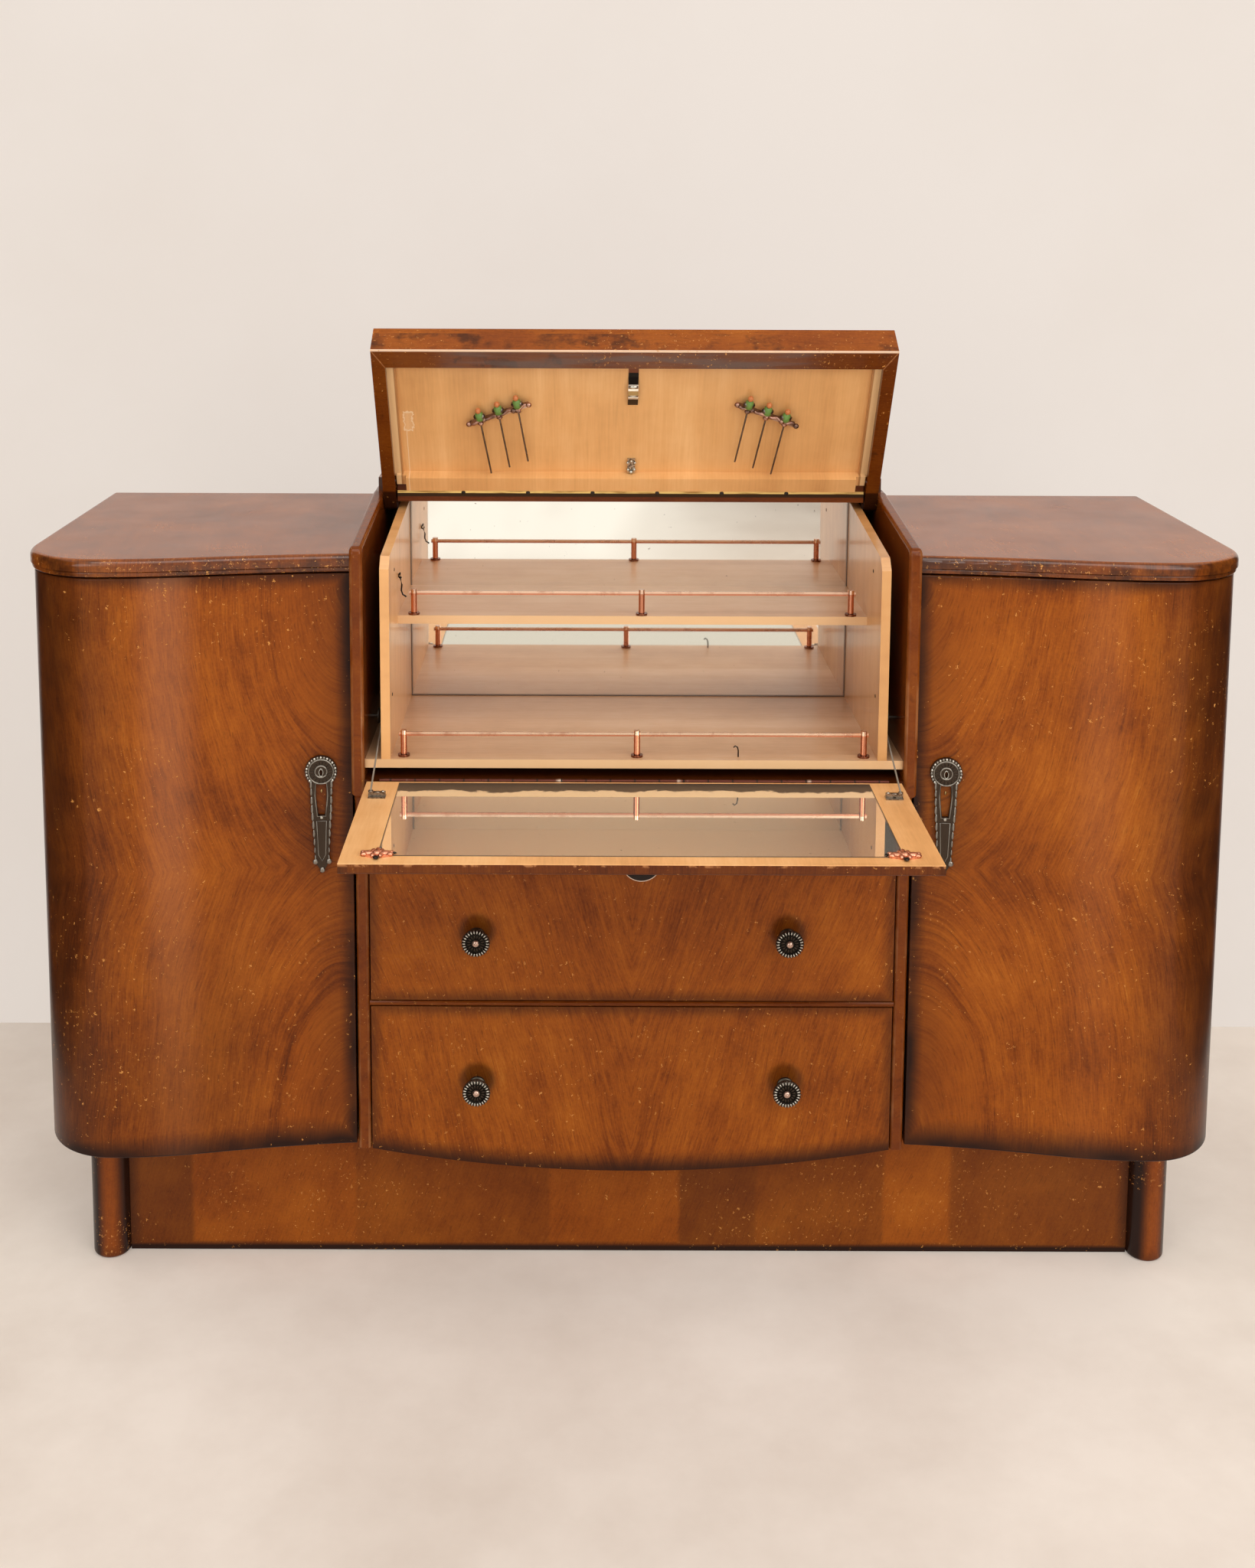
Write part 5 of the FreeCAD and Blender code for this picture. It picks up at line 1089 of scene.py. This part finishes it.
def plaster(name, lit, colour, darker, scale, share, one_sided=False):
    """A matt stage surface. Part of its tone is its own light, for the camera and for
    reflections alone, so that it looks evenly lit and still takes the object's shadow.
    A one-sided surface can't be seen from behind, so that it hides nothing."""
    web = Web(name)
    value = web.plus(web.times(web.noise(scale, 6.0, 0.62), 0.5),
                     web.times(web.noise(scale * 0.22, 3.0, 0.6), 0.5))
    tone = web.ramp(value, [(0.38, darker), (0.56, colour)])
    web.set(colour=tone, rough=0.8, specular=0.2)
    web.bump(web.noise(scale * 40, 2.0), 0.05, 0.002)
    glow = web.add("ShaderNodeEmission")
    web.join(web.mix(1.0, tone, lit, "MULTIPLY"), glow.inputs["Color"])
    shown = web.mix_shaders(web.times(web.seen(), share), web.bsdf.outputs[0], glow.outputs[0])
    if one_sided:
        behind = web.add("ShaderNodeNewGeometry").outputs["Backfacing"]
        clear = web.add("ShaderNodeBsdfTransparent").outputs[0]
        shown = web.mix_shaders(behind, shown, clear)
    web.show(shown)
    return web.material


UPRIGHT = Matrix.Rotation(math.pi / 2, 4, "X")
plain("floor", 16.0, 18.0, Matrix.Translation((0, -1.4, 0)),
      plaster("floor", (1.12, 1.09, 1.08), (0.915, 0.830, 0.745), (0.76, 0.665, 0.58), 2.4, 0.25))
plain("wall", 16.0, 8.0, Matrix.Translation((0, 0.635, 4.0)) @ UPRIGHT,
      plaster("wall", (1.06, 1.03, 1.02), (0.80, 0.745, 0.69), (0.775, 0.715, 0.655), 1.6, 0.75,
              one_sided=True), ("shadow",))


def lamp(name, place, target, width, height, power):
    data = bpy.data.lights.new(name, "AREA")
    data.shape = "RECTANGLE"
    data.size = width
    data.size_y = height
    data.energy = power
    data.color = (1.0, 0.975, 0.94)
    item = put(name, data)
    item.location = place
    item.rotation_euler = (Vector(target) - Vector(place)).to_track_quat("-Z", "Y").to_euler()


def bright_panel(name, place, width, height, strength):
    """A glowing panel with soft edges, for the mirrors and the varnish to show."""
    web = Web(name)
    soft = web.times(web.fade(web.off, width * 0.18, width * 0.5),
                     web.fade(web.size(web.y), height * 0.18, height * 0.5),
                     web.plus(web.noise(3.0, 2.0), 0.4))
    glow = web.add("ShaderNodeEmission")
    glow.inputs["Color"].default_value = (1.0, 0.95, 0.86, 1.0)
    glow.inputs["Strength"].default_value = strength
    clear = web.add("ShaderNodeBsdfTransparent").outputs[0]
    web.show(web.mix_shaders(soft, clear, glow.outputs[0]))
    plain(name, width, height, Matrix.Translation(place) @ UPRIGHT, web.material,
          ("camera", "shadow"))


def dark_panel(name, x):
    """An unlit panel beside the cabinet that only the varnish and the metal reflect."""
    turn = Matrix.Rotation(math.pi / 2, 4, "Y") @ Matrix.Rotation(math.pi / 2, 4, "Z")
    plain(name, 1.5, 1.7, Matrix.Translation((x, -0.13, 0.85)) @ turn,
          flat(name, (0.030, 0.020, 0.015), 0.9), ("camera", "shadow", "diffuse"))


dark_panel("left_flag", -1.30)
dark_panel("right_flag", 1.30)
lamp("key", (2.5, -3.3, 2.4), (0, 0, 0.6), 3.0, 2.4, 74)
lamp("fill", (-2.3, -3.5, 1.9), (0, 0, 0.6), 1.8, 2.2, 26)
lamp("ceiling", (0, -1.9, 3.7), (0, -0.2, 0.5), 3.4, 2.0, 60)
bright_panel("front_panel", (-0.45, -3.3, 0.42), 2.2, 1.05, 1.15)

# The room's own light, and how much more of it the camera and reflections see
ROOM, ROOM_SEEN = 0.38, 0.42
world = bpy.data.worlds.new("room")
bpy.context.scene.world = world
room = Nodes(world)
background = room.add("ShaderNodeBackground")
background.inputs[0].default_value = (1.0, 0.965, 0.92, 1.0)
room.join(room.math("MULTIPLY_ADD", room.seen(), ROOM_SEEN, ROOM), background.inputs[1])
room.join(background.outputs[0], room.add("ShaderNodeOutputWorld").inputs[0])

# The photograph's camera, fitted to its 1639 x 2048 frame. Shifts are shares of the long side.
PICTURE_HEIGHT = 2048
camera = bpy.data.cameras.new("camera")
camera_object = put("camera", camera)
bpy.context.scene.camera = camera_object
camera.sensor_width = 36.0
camera.lens = 40.01
camera.shift_x = 62.2 / PICTURE_HEIGHT
camera.shift_y = -497.6 / PICTURE_HEIGHT
camera.clip_start = 0.05
camera.clip_end = 60.0
camera_object.matrix_world = (Matrix.Translation((-0.0690, -2.1850, 1.4140))
                              @ Matrix.Rotation(math.radians(90 - 7.0), 4, "X")
                              @ Matrix.Rotation(math.radians(0.2), 4, "Z"))

bpy.context.scene.view_settings.view_transform = "Standard"
